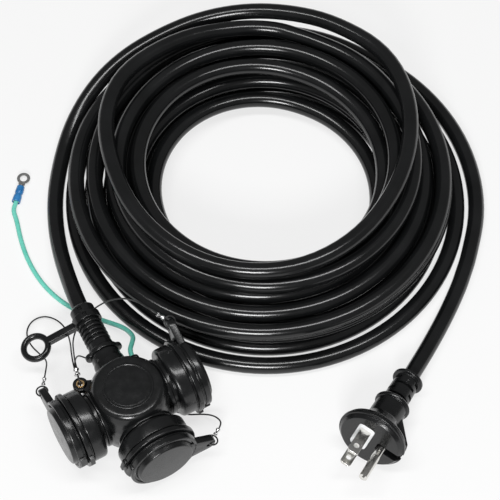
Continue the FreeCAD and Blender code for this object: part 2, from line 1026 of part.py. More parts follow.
for hand in (1, -1):
    notch_middle = (collar_start + c.relief_end) / 2 + c.notch_width * 0.7 * hand
    for level in (1, -1):
        notches.append(
            box(
                f"relief_notch_{hand}_{level}",
                notch_middle - c.notch_width / 2,
                -(c.notch_width * 0.5) + c.notch_width * 0.6 * -hand,
                c.collar_radius * level - c.notch_depth,
                c.notch_width,
                c.notch_width,
                c.notch_depth * 2,
            )
        )
keep(
    "strain_relief",
    cut("strain_relief_cut", fuse("relief_whole", relief, *lobes), fuse("relief_notches", *notches)),
    arm,
)

# The hanging ring, its strap and the band that holds it on the strain relief

band_bore = c.band_seat_radius + c.moulded_fit
band_outer = band_bore + c.band_wall
band_middle = c.band_start + c.band_width / 2
droop = Placement(Vector(), Rotation(X_AXIS, -float(c.strap_droop)))
strap_start = (band_bore + band_outer) / 2
strap_end = c.ring_distance - (c.ring_bore + c.ring_radius) / 2
strap = box(
    "strap_solid",
    band_middle - c.strap_width / 2,
    strap_start,
    -(c.strap_thickness / 2),
    c.strap_width,
    strap_end - strap_start,
    c.strap_thickness,
    droop,
)
ring = turned(
    "ring_solid",
    [
        (-(c.ring_thickness / 2), c.ring_bore),
        (-(c.ring_thickness / 2), c.ring_radius),
        (c.ring_thickness / 2, c.ring_radius),
        (c.ring_thickness / 2, c.ring_bore),
    ],
)
round_rings(
    ring,
    c.ring_round,
    [(-(c.ring_thickness / 2), c.ring_radius), (c.ring_thickness / 2, c.ring_radius)],
)
ring_place = droop.multiply(at(band_middle, c.ring_distance, 0.0, Rotation(Y_AXIS, -90)))
ring.Placement = ring_place
band = rod("band_solid", c.band_start, c.band_width, band_outer)
band_hole = rod("band_hole", c.band_start, c.band_width, band_bore)
ring_hole = rod(
    "ring_hole",
    -(c.ring_thickness / 2),
    c.ring_thickness,
    c.ring_bore,
    place=ring_place,
)
keep(
    "hanging_ring",
    cut(
        "hanging_ring_cut",
        fuse("hanging_ring_whole", strap, ring, band),
        fuse("hanging_ring_holes", band_hole, ring_hole),
    ),
    arm,
)

# The brass eyelet, the loop through it and the crimp that joins the three tethers

ear_half = c.ear_thickness / 2
eyelet_face = ear_half + c.eyelet_flange_thickness
eyelet = turned(
    "eyelet_body",
    [
        (-eyelet_face, c.eyelet_bore),
        (-eyelet_face, c.eyelet_flange),
        (-ear_half, c.eyelet_flange),
        (-ear_half, eyelet_outer),
        (ear_half, eyelet_outer),
        (ear_half, c.eyelet_flange),
        (eyelet_face, c.eyelet_flange),
        (eyelet_face, c.eyelet_bore),
    ],
)
eye_middle = ear_place.multiply(at(ear_distance))
keep("tether_eyelet", eyelet, eye_middle.multiply(Placement(Vector(), Rotation(Y_AXIS, -90))))
eye_frame = Placement(eye_middle.Base, Rotation(Z_AXIS, float(c.eyelet_loop_turn)))
eye_loop = doc.addObject("Part::Torus", "eyelet_loop_ring")
bind(eye_loop, Radius1=c.eyelet_loop_radius, Radius2=c.tether_radius)
keep(
    "eyelet_loop",
    eye_loop,
    eye_frame.multiply(at(c.eyelet_loop_radius, 0, 0, Rotation(X_AXIS, 90))),
)
eye_crimp_start = c.eyelet_loop_radius * 2 + c.tether_radius + c.crimp_stand_off
keep(
    "eyelet_crimp",
    rod("eyelet_crimp_rod", eye_crimp_start, c.eyelet_crimp_length, c.eyelet_crimp_radius, place=eye_frame),
)

# Points on the pieces that the wires meet


def placed(place, x=0.0, y=0.0, z=0.0):
    return place.multVec(Vector(float(x), float(y), float(z)))


def direction(place, way=X_AXIS):
    return place.Rotation.multVec(way)


def from_hub(points):
    """Points of a free route, from the hub's axis over the surface, in the part's frame."""
    return [Vector(x + float(c.footprint_x), y + float(c.footprint_y), z) for x, y, z in points]


crimp_end = c.loop_radius + c.tether_radius + c.crimp_stand_off + c.crimp_length
eye_crimp_end = eye_crimp_start + c.eyelet_crimp_length
STEP_OUT = 4.0  # how far a tether runs straight out of a crimp
TETHER_ROUTES = {
    "left": [
        (-47.5, 31.5, 10.5),
        (-52.1, 38.0, 5.5),
        (-58.6, 45.5, 3.2),
        (-61.6, 54.0, 2.4),
        (-59.1, 61.5, 2.0),
        (-52.6, 65.0, 2.0),
        (-45.6, 63.0, 2.4),
        (-39.9, 57.0, 4.5),
        (-36.7, 48.5, 8.5),
        (-34.7, 40.0, 14.0),
        (-33.6, 32.8, 20.2),
    ],
    "front": [
        (48.4, -3.4, 8.0),
        (44.6, 0.6, 5.0),
        (38.4, 2.6, 2.4),
        (29.4, 2.7, 1.0),
        (17.4, 7.6, 0.7),
        (7.4, 15.1, 0.7),
        (-2.7, 23.6, 0.7),
        (-13.1, 30.0, 1.5),
        (-21.6, 33.5, 5.0),
        (-28.1, 34.0, 11.0),
        (-30.6, 31.5, 16.6),
    ],
    "right": [
        (7.4, 46.8, 46.2),
        (1.2, 53.4, 40.0),
        (-6.6, 60.5, 30.0),
        (-15.1, 65.0, 19.0),
        (-23.1, 65.5, 9.5),
        (-29.6, 61.0, 5.0),
        (-33.4, 53.5, 5.0),
        (-34.1, 44.5, 9.0),
        (-32.6, 34.5, 17.2),
    ],
}
GATHER_TURNS = {"left": 30.0, "front": 270.0, "right": 150.0}
for side, its_turn in OUTLET_TURNS.items():
    cap_frame = arm_place(its_turn).multiply(turn(TAB_TURNS[side], X_AXIS))
    loop_frame = cap_frame.multiply(at(tab_middle, c.tab_reach + c.loop_radius))
    crimp_frame = loop_frame.multiply(turn(90.0 + float(c.crimp_lean)))
    leaves = placed(crimp_frame, crimp_end)
    gather = math.radians(GATHER_TURNS[side])
    meets = placed(
        eye_frame,
        eye_crimp_end,
        c.tether_gather * math.cos(gather),
        c.tether_gather * math.sin(gather),
    )
    points = [leaves, leaves + direction(crimp_frame) * STEP_OUT]
    points += from_hub(TETHER_ROUTES[side])
    points += [meets + direction(eye_frame) * STEP_OUT, meets]
    keep(side + "_tether", formed(side + "_tether_wire", free_wire(side + "_tether", points, c.tether_radius)))

# The earth lead with its ring terminal

boss_exit = placed(arm, c.boss_end, -c.boss_offset, -c.boss_drop)
wire_start = placed(arm, c.block_half + c.wire_stand_off, -c.boss_offset, -c.boss_drop)
EARTH_ROUTE = [
    (-0.2, 38.5, 18.6),
    (0.2, 45.5, 13.5),
    (-5.6, 54.0, 8.0),
    (-16.1, 60.5, 3.2),
    (-27.1, 65.5, 1.4),
    (-37.6, 71.0, 1.4),
    (-47.1, 78.5, 1.4),
    (-56.1, 89.0, 1.4),
    (-63.6, 102.5, 1.4),
    (-68.7, 117.0, 1.4),
    (-71.4, 129.0, 2.0),
]
TERMINAL_AT = (-72.7, 141.5, 2.6)
TERMINAL_HEADING = 78.0
TERMINAL_RUN_IN = (6.0, 1.0)  # points before the sleeve where the lead already runs straight
terminal_frame = Placement(
    from_hub([TERMINAL_AT])[0],
    Rotation(Z_AXIS, TERMINAL_HEADING),
)
ferrule_bore = c.earth_wire_radius + c.moulded_fit
ferrule_outer = ferrule_bore + c.ferrule_wall
wire_end = placed(terminal_frame, c.sleeve_length - c.crimp_stand_off)
points = [wire_start, boss_exit - direction(arm) * STEP_OUT, boss_exit + direction(arm) * STEP_OUT]
points += from_hub(EARTH_ROUTE)
points += [placed(terminal_frame, -x) for x in TERMINAL_RUN_IN] + [wire_end]
keep("earth_wire", formed("earth_wire_tube", free_wire("earth_wire", points, c.earth_wire_radius)))
sleeve = turned(
    "terminal_sleeve_body",
    [
        (0.0, c.sleeve_radius - c.sleeve_wall),
        (0.0, c.sleeve_radius),
        (c.sleeve_length, c.sleeve_radius),
        (c.sleeve_length, c.sleeve_radius - c.sleeve_wall),
    ],
)
keep("terminal_sleeve", sleeve, terminal_frame)
tongue = fuse(
    "tongue_whole",
    rod("ferrule_rod", c.sleeve_wall, c.sleeve_length + c.sleeve_wall, ferrule_outer),
    box(
        "tongue_plate",
        c.sleeve_length,
        -ferrule_outer,
        -(c.tongue_thickness / 2),
        c.tongue_reach - c.sleeve_length,
        ferrule_outer * 2,
        c.tongue_thickness,
    ),
    upright(
        "tongue_disc",
        c.tongue_reach,
        0.0,
        -(c.tongue_thickness / 2),
        c.tongue_thickness,
        c.tongue_radius,
    ),
)
tongue_holes = fuse(
    "tongue_holes",
    rod("ferrule_bore", c.sleeve_wall, c.sleeve_length - c.sleeve_wall, ferrule_bore),
    upright(
        "tongue_hole",
        c.tongue_reach,
        0.0,
        -(c.tongue_thickness / 2),
        c.tongue_thickness,
        c.tongue_hole,
    ),
)
keep("ring_terminal", cut("ring_terminal_cut", tongue, tongue_holes), terminal_frame)

# The plug

plug_rotation = (
    Rotation(Z_AXIS, float(c.plug_heading))
    .multiply(Rotation(Y_AXIS, -float(c.plug_tilt)))
    .multiply(Rotation(X_AXIS, -float(c.plug_roll)))
)
flange_at = from_hub([(float(c.plug_x), float(c.plug_y), float(c.plug_height))])[0]
plug = Placement(flange_at, plug_rotation).multiply(at(c.plug_flange_middle))

grip_front = -(c.plug_ring_back)
grip_back = -(c.plug_end - c.plug_end_ring_width)
plug_outer = turned(
    "plug_outer",
    [
        (-c.plug_end, 0.0),
        (-c.plug_end, c.plug_end_ring_radius),
        (grip_back, c.plug_end_ring_radius),
        (grip_back, c.plug_grip_radius),
        (grip_front, c.plug_grip_radius),
        (grip_front, c.plug_ring_radius),
        (grip_front + c.plug_ring_width, c.plug_ring_radius),
        (grip_front + c.plug_ring_width, c.plug_tube_radius),
        (-c.plug_flare, c.plug_tube_radius),
        (-c.plug_flange_back, c.plug_face_radius),
        (-c.plug_flange_middle, c.plug_flange_radius),
        (0.0, c.plug_face_radius),
        (0.0, 0.0),
    ],
)
wedge = prism(
    "plug_wedge",
    "XY_Plane",
    [
        (-c.wedge_back, 0.0),
        (-c.wedge_back, c.plug_tube_radius * 0.8),
        (-c.wedge_corner, c.wedge_reach),
        (-c.plug_flange_middle, c.wedge_reach),
        (-c.plug_flange_middle, 0.0),
    ],
    c.wedge_half * 2,
)
hinge_y = c.earth_offset - c.blade_shift
insert_y = -c.blade_shift - c.insert_width / 2
slot_half = c.earth_pin_radius + c.slot_side_play
slot_y = hinge_y - c.knuckle_radius - c.slot_side_play
slot_reach = c.wedge_reach + c.slot_side_play - slot_y
hollows = [
    rod("plug_bore", -c.plug_end, c.plug_end - c.plug_cord_end, bore),
    rod(
        "plug_cavity",
        -c.plug_cord_end,
        c.plug_cord_end - c.plug_cavity_front,
        c.plug_cavity_radius,
    ),
    box(
        "plug_insert_pocket",
        -c.plug_cavity_front,
        insert_y,
        -(c.insert_height / 2),
        c.plug_cavity_front,
        c.insert_width,
        c.insert_height,
    ),
    box("plug_slot", -c.slot_depth, slot_y, -slot_half, c.slot_depth, slot_reach, slot_half * 2),
    rod(
        "hinge_hole",
        -c.hinge_depth,
        c.hinge_length,
        c.hinge_radius,
        hinge_y,
        -(c.hinge_length / 2),
        rotation=Rotation(),
    ),
    box(
        "earth_strip_slot",
        -c.plug_cavity_front,
        hinge_y - c.leaf,
        -c.earth_pin_radius,
        c.plug_cavity_front - c.slot_depth,
        c.leaf * 2,
        c.earth_pin_radius * 2,
    ),
]
stop_x = -(c.slot_depth + c.stop_radius - c.stop_proud)
stop_y = c.stop_y
stop_length = c.wedge_half * 2 + c.stop_proud * 2
hollows.append(
    rod(
        "stop_hole",
        stop_x,
        stop_length,
        c.stop_radius,
        stop_y,
        -(stop_length / 2),
        rotation=Rotation(),
    )
)
grip_notches = []
notch_rows = 3
for index in range(notch_rows):
    middle = grip_back + (grip_front - grip_back) * ((index + 1) / (notch_rows + 1))
    hand = 1 if index % 2 else -1
    for level in (1, -1):
        grip_notches.append(
            box(
                f"grip_notch_{index}_{level}",
                middle - c.notch_width / 2,
                -c.notch_width + c.notch_width * 0.9 * hand,
                c.plug_grip_radius * level - c.notch_depth,
                c.notch_width,
                c.notch_width * 2,
                c.notch_depth * 2,
            )
        )
keep(
    "plug_body",
    cut(
        "plug_body_cut",
        fuse("plug_whole", plug_outer, wedge),
        fuse("plug_hollows", *hollows, *grip_notches),
    ),
    plug,
)

blade_y = -c.blade_shift
tail_y = blade_y + c.blade_width / 2 - c.blade_tail_width  # along one edge of the blade
face_insert = box(
    "face_insert_solid",
    -c.plug_cavity_front,
    insert_y + c.moulded_fit,
    -(c.insert_height / 2) + c.moulded_fit,
    c.plug_cavity_front,
    c.insert_width - c.moulded_fit * 2,
    c.insert_height - c.moulded_fit * 2,
)
blade_ways = []
for name, hand in CONTACTS.items():
    level = blade_half * hand
    blade_ways.append(
        box(
            name + "_blade_way",
            -c.plug_cavity_front,
            blade_y - c.blade_width / 2,
            level - c.blade_thickness / 2,
            c.plug_cavity_front,
            c.blade_width,
            c.blade_thickness,
        )
    )
    crimp_level = c.blade_crimp_z * hand
    tail_level = level - (c.blade_thickness - c.blade_tail_thickness) / 2 * hand
    tail = c.plug_cavity_front + c.blade_crimp_length / 2
    blade = fuse(
        name + "_blade_whole",
        box(
            name + "_blade_strip",
            -c.plug_cavity_front,
            blade_y - c.blade_width / 2,
            level - c.blade_thickness / 2,
            c.blade_length + c.plug_cavity_front,
            c.blade_width,
            c.blade_thickness,
        ),
        box(
            name + "_blade_tail",
            -tail,
            tail_y,
            tail_level - c.blade_tail_thickness / 2,
            tail,
            c.blade_tail_width,
            c.blade_tail_thickness,
        ),
        rod(
            name + "_blade_crimp",
            -(c.plug_cavity_front + c.blade_crimp_length),
            c.blade_crimp_length - c.leaf,
            c.blade_crimp_radius,
            c.blade_crimp_y,
            crimp_level,
        ),
    )
    blade_hole = upright(
        name + "_blade_hole",
        c.blade_length - c.blade_hole_back,
        blade_y,
        level - c.blade_thickness,
        c.blade_thickness * 2,
        c.blade_hole_radius,
    )
    keep(name + "_blade", cut(name + "_blade_cut", blade, blade_hole), plug)
keep("plug_face_insert", cut("face_insert_cut", face_insert, fuse("blade_ways", *blade_ways)), plug)

pin_solid = fuse(
    "pin_whole",
    rod("pin_rod", -c.hinge_depth, c.hinge_depth + c.earth_pin_reach, c.earth_pin_radius),
    upright(
        "pin_knuckle",
        -c.hinge_depth,
        0.0,
        -(c.knuckle_height / 2),
        c.knuckle_height,
        c.knuckle_radius,
    ),
)
pin_bore = c.hinge_radius + c.hinge_play
pin_hollow = fuse(
    "pin_hollow",
    upright(
        "pin_hinge_bore",
        -c.hinge_depth,
        0.0,
        -c.knuckle_height,
        c.knuckle_height * 2,
        pin_bore,
    ),
    box(
        "pin_channel",
        c.knuckle_radius,
        -c.leaf,
        0.0,
        c.earth_pin_reach,
        c.leaf * 2,
        c.earth_pin_radius * 2,
    ),
)
keep("earth_pin", cut("earth_pin_cut", pin_solid, pin_hollow), plug.multiply(at(y=hinge_y)))
keep(
    "earth_pin_hinge",
    upright(
        "hinge_rod",
        -c.hinge_depth,
        hinge_y,
        -(c.hinge_length / 2) + c.hinge_play,
        c.hinge_length - c.hinge_play * 2,
        c.hinge_radius - c.hinge_play / 5,
        plug,
    ),
)
keep(
    "earth_pin_stop",
    upright(
        "stop_rod",
        stop_x,
        stop_y,
        -(stop_length / 2),
        stop_length,
        c.stop_radius - c.hinge_play / 5,
        plug,
    ),
)
strip_tail = c.plug_cavity_front + c.blade_crimp_length / 2
earth_crimp_y = c.earth_crimp_y
keep(
    "earth_strip",
    fuse(
        "earth_strip_whole",
        box(
            "earth_strip_leaf",
            -strip_tail,
            hinge_y - c.leaf / 2,
            -c.earth_strip_half,
            strip_tail - c.slot_depth,
            c.leaf,
            c.earth_strip_half * 2,
        ),
        box(
            "earth_strip_link",
            -strip_tail,
            earth_crimp_y,
            -c.leaf,
            c.blade_crimp_length / 2 - c.leaf,
            hinge_y - earth_crimp_y + c.leaf / 2,
            c.leaf * 2,
        ),
        rod(
            "earth_strip_crimp",
            -(c.plug_cavity_front + c.blade_crimp_length),
            c.blade_crimp_length - c.leaf,
            c.blade_crimp_radius,
            earth_crimp_y,
        ),
    ),
    plug,
)

# The cores at both ends of the cord


def core_places():
    """Where each core lies at the cord's cut end, across its axis."""
    for name, degrees in (("line", 30.0), ("neutral", 150.0), ("earth", 270.0)):
        angle = math.radians(degrees)
        yield name, float(c.core_ring) * math.cos(angle), float(c.core_ring) * math.sin(angle)


bus_middle = float(c.bus_thickness) / 2
for name, y, z in core_places():
    height = float(BUSES[name][0]) + bus_middle
    across = float(c.core_spread) * CORE_SIDES[name]
    lift = float(c.core_radius) * 0.8
    core_start = float(c.block_half + c.core_stand_off)
    start = (core_start, across, height + (lift if name == "earth" else 0.0))
    gap = float(c.cord_end) - core_start
    route = [
        start,
        (start[0] + gap * 0.25, start[1], start[2]),
        (float(c.cord_end) - gap * 0.25, y, z),
        (float(c.cord_end), y, z),
    ]
    points = [placed(arm, *p) for p in route]
    keep(
        f"tap_{name}_core",
        formed(f"tap_{name}_core_tube", free_wire(f"tap_{name}_core", points, c.core_radius)),
    )

crimp_ends = {
    "line": (float(c.blade_crimp_y), float(c.blade_crimp_z)),
    "neutral": (float(c.blade_crimp_y), -float(c.blade_crimp_z)),
    "earth": (float(earth_crimp_y), 0.0),
}
plug_cores = {"line": 90.0, "neutral": 210.0, "earth": 330.0}
for name, (y, z) in crimp_ends.items():
    angle = math.radians(plug_cores[name])
    ring_y, ring_z = float(c.core_ring) * math.cos(angle), float(c.core_ring) * math.sin(angle)
    start_x = -float(c.plug_cavity_front + c.blade_crimp_length)
    end_x = -float(c.plug_cord_end)
    gap = end_x - start_x
    points = [
        placed(plug, start_x, y, z),
        placed(plug, start_x + gap * 0.25, y, z),
        placed(plug, end_x - gap * 0.25, ring_y, ring_z),
        placed(plug, end_x, ring_y, ring_z),
    ]
    keep(
        f"plug_{name}_core",
        formed(f"plug_{name}_core_tube", free_wire(f"plug_{name}_core", points, c.core_radius)),
    )

# The coil: from the plug it spirals in and out twice, climbing a layer each time that it turns back

LAYER_TURNS = (5.25, 4.25, 3.75, 2.0)
DRIFT_START = (2.5, -6.0)
DRIFT_END = (-3.0, 2.0)
CLIMB_TURNS = 0.5
QUARTER = 0.25


def coil_point(turns):
    """The cord's middle after a number of turns from the plug's side."""
    radius, left, way = float(c.coil_outer), turns, -1.0
    height, ended = float(c.cord_radius), 0.0
    for layer, layer_turns in enumerate(LAYER_TURNS):
        used = min(left, layer_turns)
        radius += way * float(c.coil_pitch) * used
        left -= used
        way = -way
        ended += layer_turns
        if layer < len(LAYER_TURNS) - 1:
            climb = min(1.0, max(0.0, (turns - ended + CLIMB_TURNS / 2) / CLIMB_TURNS))
            height += float(c.coil_step) * climb * climb * (3 - 2 * climb)
    share = turns / sum(LAYER_TURNS)
    middle_x = float(c.coil_x) + DRIFT_START[0] + (DRIFT_END[0] - DRIFT_START[0]) * share
    middle_y = float(c.coil_y) + DRIFT_START[1] + (DRIFT_END[1] - DRIFT_START[1]) * share
    angle = math.radians(float(c.coil_start)) + 2 * math.pi * turns
    flat = (middle_x + radius * math.cos(angle), middle_y + radius * math.sin(angle), height)
    return from_hub([flat])[0]


def coil_way(turns):
    """The cord's direction there."""
    step = 1e-4
    low, high = max(0.0, turns - step), min(sum(LAYER_TURNS), turns + step)
    return (coil_point(high) - coil_point(low)).normalize()


all_turns = sum(LAYER_TURNS)
quarters = int(round(all_turns / QUARTER))
coil_edges = []
cord_diameter = float(c.cord_radius) * 2
coil_entry, coil_exit = coil_point(0.0), coil_point(all_turns)
entry_way, exit_way = coil_way(0.0), coil_way(all_turns)
coil_edges.append(Part.LineSegment(coil_entry - entry_way * cord_diameter, coil_entry).toShape())
for quarter in range(quarters):
    a, b = quarter * QUARTER, (quarter + 1) * QUARTER
    coil_edges += biarc(coil_point(a), coil_way(a), coil_point(b), coil_way(b))
coil_edges.append(Part.LineSegment(coil_exit, coil_exit + exit_way * cord_diameter).toShape())
coil_path = Part.Wire(coil_edges)
coil_tube = swept(coil_path, float(c.cord_radius))
expected = coil_path.Length * math.pi * float(c.cord_radius) ** 2
print(f"cord_coil: length {coil_path.Length:.1f}, volume {coil_tube.Volume / expected:.4f} of expected")
keep("cord_coil", formed("cord_coil_tube", coil_tube))


def least_gap_to_itself():
    """The least gap between stretches of the coil that are over a third of a turn apart."""
    per_turn = 90
    points = [coil_point(i / per_turn) for i in range(int(all_turns * per_turn) + 1)]
    least = math.inf
    for i, p in enumerate(points):
        for q in points[i + per_turn // 3 :]:
            if abs(p.z - q.z) < 2 * cord_diameter:
                least = min(least, (p - q).Length)
    return least - cord_diameter


print(f"cord_coil: least gap to itself {least_gap_to_itself():.2f}")

# The two free stretches of the cord

# The last loop lies loose on the coil: its turn about the coil's middle, its radius and its height
LOOSE_LOOP = [
    (100.0, 97.2, 36.0),
    (121.0, 98.5, 41.5),
    (145.0, 101.5, 44.7),
    (163.0, 98.0, 44.7),
    (181.0, 91.0, 44.7),
    (206.0, 86.5, 44.7),
    (231.0, 84.5, 44.7),
    (256.0, 83.5, 44.7),
    (282.0, 81.5, 44.7),
    (309.0, 78.5, 44.7),
    (337.0, 78.0, 44.7),
    (363.0, 83.5, 44.7),
    (386.0, 92.5, 44.7),
    (406.0, 100.5, 44.7),
]
TAP_LEAD = [
    (115.3, 242.4, 44.5),
    (90.3, 251.8, 42.2),
    (63.9, 256.4, 38.5),
    (36.6, 253.6, 34.6),
    (12.5, 244.5, 30.5),
    (-10.3, 231.3, 26.0),
    (-27.8, 214.8, 19.5),
    (-41.1, 193.5, 10.8),
    (-47.7, 168.0, 5.4),
    (-50.0, 139.0, 4.75),
    (-45.7, 107.5, 5.4),
]
PLUG_LEAD = [
    (165.2, 42.6, 6.0),
    (175.3, 62.0, 4.75),
]
STRAIGHT_OUT = 8.0  # how far the cord runs straight into and out of the tap and the plug
COIL_RUN_OUT = 14.0  # and on from the coil's two ends
COIL_RUN_IN = 12.0
lead_start = placed(arm, c.cord_end)
relief_mouth = placed(arm, c.relief_end)
coil_out = coil_exit + exit_way * cord_diameter
coil_in = coil_entry - entry_way * cord_diameter
loose_points = []
for degrees, radius, height in LOOSE_LOOP:
    angle = math.radians(degrees)
    flat_x = float(c.coil_x) + radius * math.cos(angle)
    loose_points.append((flat_x, float(c.coil_y) + radius * math.sin(angle), height))
tap_points = [coil_out, coil_out + exit_way * COIL_RUN_OUT] + from_hub(loose_points) + from_hub(TAP_LEAD)
straight_out = direction(arm) * STRAIGHT_OUT
tap_points += [relief_mouth + straight_out, relief_mouth - straight_out, lead_start]
keep("cord_tap_lead", formed("cord_tap_lead_tube", free_wire("cord_tap_lead", tap_points, c.cord_radius)))
plug_points = [placed(plug, -c.plug_cord_end)]
plug_points += [placed(plug, STRAIGHT_OUT - c.plug_end), placed(plug, -c.plug_end - STRAIGHT_OUT)]
plug_points += from_hub(PLUG_LEAD) + [coil_in - entry_way * COIL_RUN_IN, coil_in]
keep("cord_plug_lead", formed("cord_plug_lead_tube", free_wire("cord_plug_lead", plug_points, c.cord_radius)))

# Every object is whole before anything is written

doc.recompute()
faults = [o.Name for o in doc.Objects if {"Invalid", "Error"} & set(o.State)]
faults += [n for n, o in nodes.items() if o.Shape.isNull() or not o.Shape.isValid()]
if faults:
    raise RuntimeError(f"these objects failed: {faults}")

os.makedirs("parts", exist_ok=True)
for name, thing in nodes.items():
    thing.Shape.exportStep(f"parts/{name}.step")
print(f"{len(nodes)} sub-parts written")
frames = {"hub": HUB, "arm": arm, "plug": plug, "coil_in": at(*coil_in), "coil_out": at(*coil_out)}
for name, place in frames.items():
    place_words = [
        " ".join(f"{number:.4f}" for number in vector)
        for vector in (place.Base, direction(place), direction(place, Z_AXIS))
    ]
    print(f"{name}: at {place_words[0]}, X {place_words[1]}, Z {place_words[2]}")
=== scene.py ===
"""The looks of an outdoor extension cord: a capped three-outlet tap, its coiled cord and its plug."""
import json
import logging
import math
from dataclasses import dataclass, field
from enum import Enum, IntEnum
from typing import Iterable, Sequence

import bmesh
import bpy
from mathutils import Matrix, Vector


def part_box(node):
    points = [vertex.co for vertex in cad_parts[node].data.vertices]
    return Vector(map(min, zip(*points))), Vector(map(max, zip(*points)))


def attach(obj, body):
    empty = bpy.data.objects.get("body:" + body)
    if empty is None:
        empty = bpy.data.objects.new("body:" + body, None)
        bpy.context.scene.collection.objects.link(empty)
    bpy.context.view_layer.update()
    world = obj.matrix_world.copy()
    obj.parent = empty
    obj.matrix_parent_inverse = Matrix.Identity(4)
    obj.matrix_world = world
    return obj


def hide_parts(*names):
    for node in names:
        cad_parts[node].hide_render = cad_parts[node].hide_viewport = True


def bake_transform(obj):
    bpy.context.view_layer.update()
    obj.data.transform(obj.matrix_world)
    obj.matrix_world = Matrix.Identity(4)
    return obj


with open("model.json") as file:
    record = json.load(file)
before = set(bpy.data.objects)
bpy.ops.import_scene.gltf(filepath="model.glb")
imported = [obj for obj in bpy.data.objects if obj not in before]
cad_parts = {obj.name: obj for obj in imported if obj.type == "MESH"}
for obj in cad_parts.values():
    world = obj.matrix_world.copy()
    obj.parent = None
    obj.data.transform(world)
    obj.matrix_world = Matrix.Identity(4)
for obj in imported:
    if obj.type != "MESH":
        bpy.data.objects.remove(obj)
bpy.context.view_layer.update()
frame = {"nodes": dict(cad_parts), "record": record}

MM = 0.001
LOG = logging.getLogger("extension_cord")

Corner = tuple[float, float, float]
Flat = tuple[float, float]
Layer = tuple[float, Sequence[Flat]]
Ring = list[Vector]
Colour = tuple[float, float, float]

WELD = 0.003  # points nearer than this are one
POLE_RADIUS = 0.001  # what stands for a radius of nothing
ROUNDING_SHARE = 0.49  # the most of a side that a corner's rounding takes
MOULDED_CREASE = 38.0  # degrees, over which an edge of a moulding stays sharp
SMALL_CREASE = 50.0  # the same on small turned parts
NOISE_LOW, NOISE_HIGH = 0.3, 0.7  # the part of a noise's range that shows

# Places, in millimetres


def shift(x: float = 0.0, y: float = 0.0, z: float = 0.0) -> Matrix:
    """A move by x, y and z."""
    return Matrix.Translation((x, y, z))


def spin(degrees: float, axis: str = "Z") -> Matrix:
    """A turn about one of the axes."""
    return Matrix.Rotation(math.radians(degrees), 4, axis)


def upright(place: Matrix) -> Matrix:
    """A frame with its X turned up."""
    return place @ spin(-90.0, "Y")


class Side(Enum):
    """The tap's three outlets."""

    LEFT = ("left", 180.0, 183.5)
    FRONT = ("front", 270.0, -15.0)
    RIGHT = ("right", 0.0, 39.0)

    def __init__(self, label: str, arm_turn: float, cap_turn: float) -> None:
        """Takes an outlet's values.

        Args:
            label: The word that its nodes' names start with.
            arm_turn: Its arm's turn in the cross, in degrees.
            cap_turn: Its cap's turn about its own axis, in degrees.
        """
        self.label = label
        self.arm_turn = arm_turn
        self.cap_turn = cap_turn
        self.body = label + "_cap_body"


class Facets(IntEnum):
    """How many points go round a turned piece."""

    OUTLET = 128
    PLUG = 112
    HUB = 96
    BAND = 80
    RING = 72
    EYELET = 48
    SMALL = 40
    FERRULE = 28
    WIRE = 10


@dataclass(frozen=True)
class Layout:
    """Where the tap and the plug stand."""

    hub_height: float = 21.3
    cross_turn: float = 29.5
    cord_arm_turn: float = 87.0
    ear_angle: float = 166.5
    ear_distance: float = 27.2
    ear_lift: float = 8.0
    plug_x: float = 130.6
    plug_y: float = -20.0
    plug_height: float = 19.2
    plug_heading: float = 241.2
    plug_tilt: float = 12.0
    plug_roll: float = 12.0
    plug_flange_middle: float = 3.0

    @property
    def footprint(self) -> Vector:
        """The hub's axis on the floor, read from the round plate that is centred on it."""
        low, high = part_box("medallion")
        middle = (low + high) / 2 / MM
        return Vector((middle.x, middle.y, 0.0))

    @property
    def hub(self) -> Matrix:
        """The hub's middle, unturned."""
        return Matrix.Translation(self.footprint) @ shift(z=self.hub_height)

    def arm(self, turn_in_cross: float) -> Matrix:
        """The frame of an arm: X runs out along it from the hub's axis."""
        return self.hub @ spin(self.cross_turn + turn_in_cross)

    @property
    def cord_arm(self) -> Matrix:
        """The frame of the arm that the cord leaves by."""
        return self.arm(self.cord_arm_turn)

    def cap(self, side: Side) -> Matrix:
        """The frame of an outlet's cap: its arm's, with Y turned to the tab."""
        return self.arm(side.arm_turn) @ spin(side.cap_turn, "X")

    @property
    def ear(self) -> Matrix:
        """The frame at the middle of the ear's hole, with X out from the hub."""
        return self.hub @ spin(self.ear_angle) @ shift(self.ear_distance, 0.0, self.ear_lift)

    @property
    def plug(self) -> Matrix:
        """The plug's frame: its face is at X 0, its earth pin towards +Y."""
        at = Matrix.Translation(self.footprint + Vector((self.plug_x, self.plug_y, self.plug_height)))
        ways = spin(self.plug_heading) @ spin(-self.plug_tilt, "Y") @ spin(-self.plug_roll, "X")
        return at @ ways @ shift(self.plug_flange_middle)

    def from_hub(self, points: Iterable[Sequence[float]]) -> list[Vector]:
        """Points of a free route, measured from the hub's axis over the floor."""
        return [Vector(p) + self.footprint for p in points]


PLACES = Layout()

# Outlines and solids


def rounded(corners: Sequence[Corner], steps: int = 5) -> list[Flat]:
    """An outline with its corners rounded, but for its two ends.

    Args:
        corners: Each corner's two coordinates and the radius of its rounding.
        steps: The number of stretches in each rounding.

    Returns:
        The outline's points.
    """
    points: list[Flat] = []
    last = len(corners) - 1
    for index, (x, y, radius) in enumerate(corners):
        if radius <= 0 or index in (0, last):
            points.append((x, y))
            continue
        here = Vector((x, y))
        back = Vector(corners[index - 1][:2]) - here
        ahead = Vector(corners[index + 1][:2]) - here
        most = ROUNDING_SHARE * min(back.length, ahead.length)
        reach = min(radius / math.tan(back.angle(ahead) / 2), most)
        start, end = here + back.normalized() * reach, here + ahead.normalized() * reach
        for step in range(steps + 1):
            share = step / steps
            bent = start * (1 - share) ** 2 + here * 2 * share * (1 - share) + end * share**2
            points.append((bent.x, bent.y))
    return points


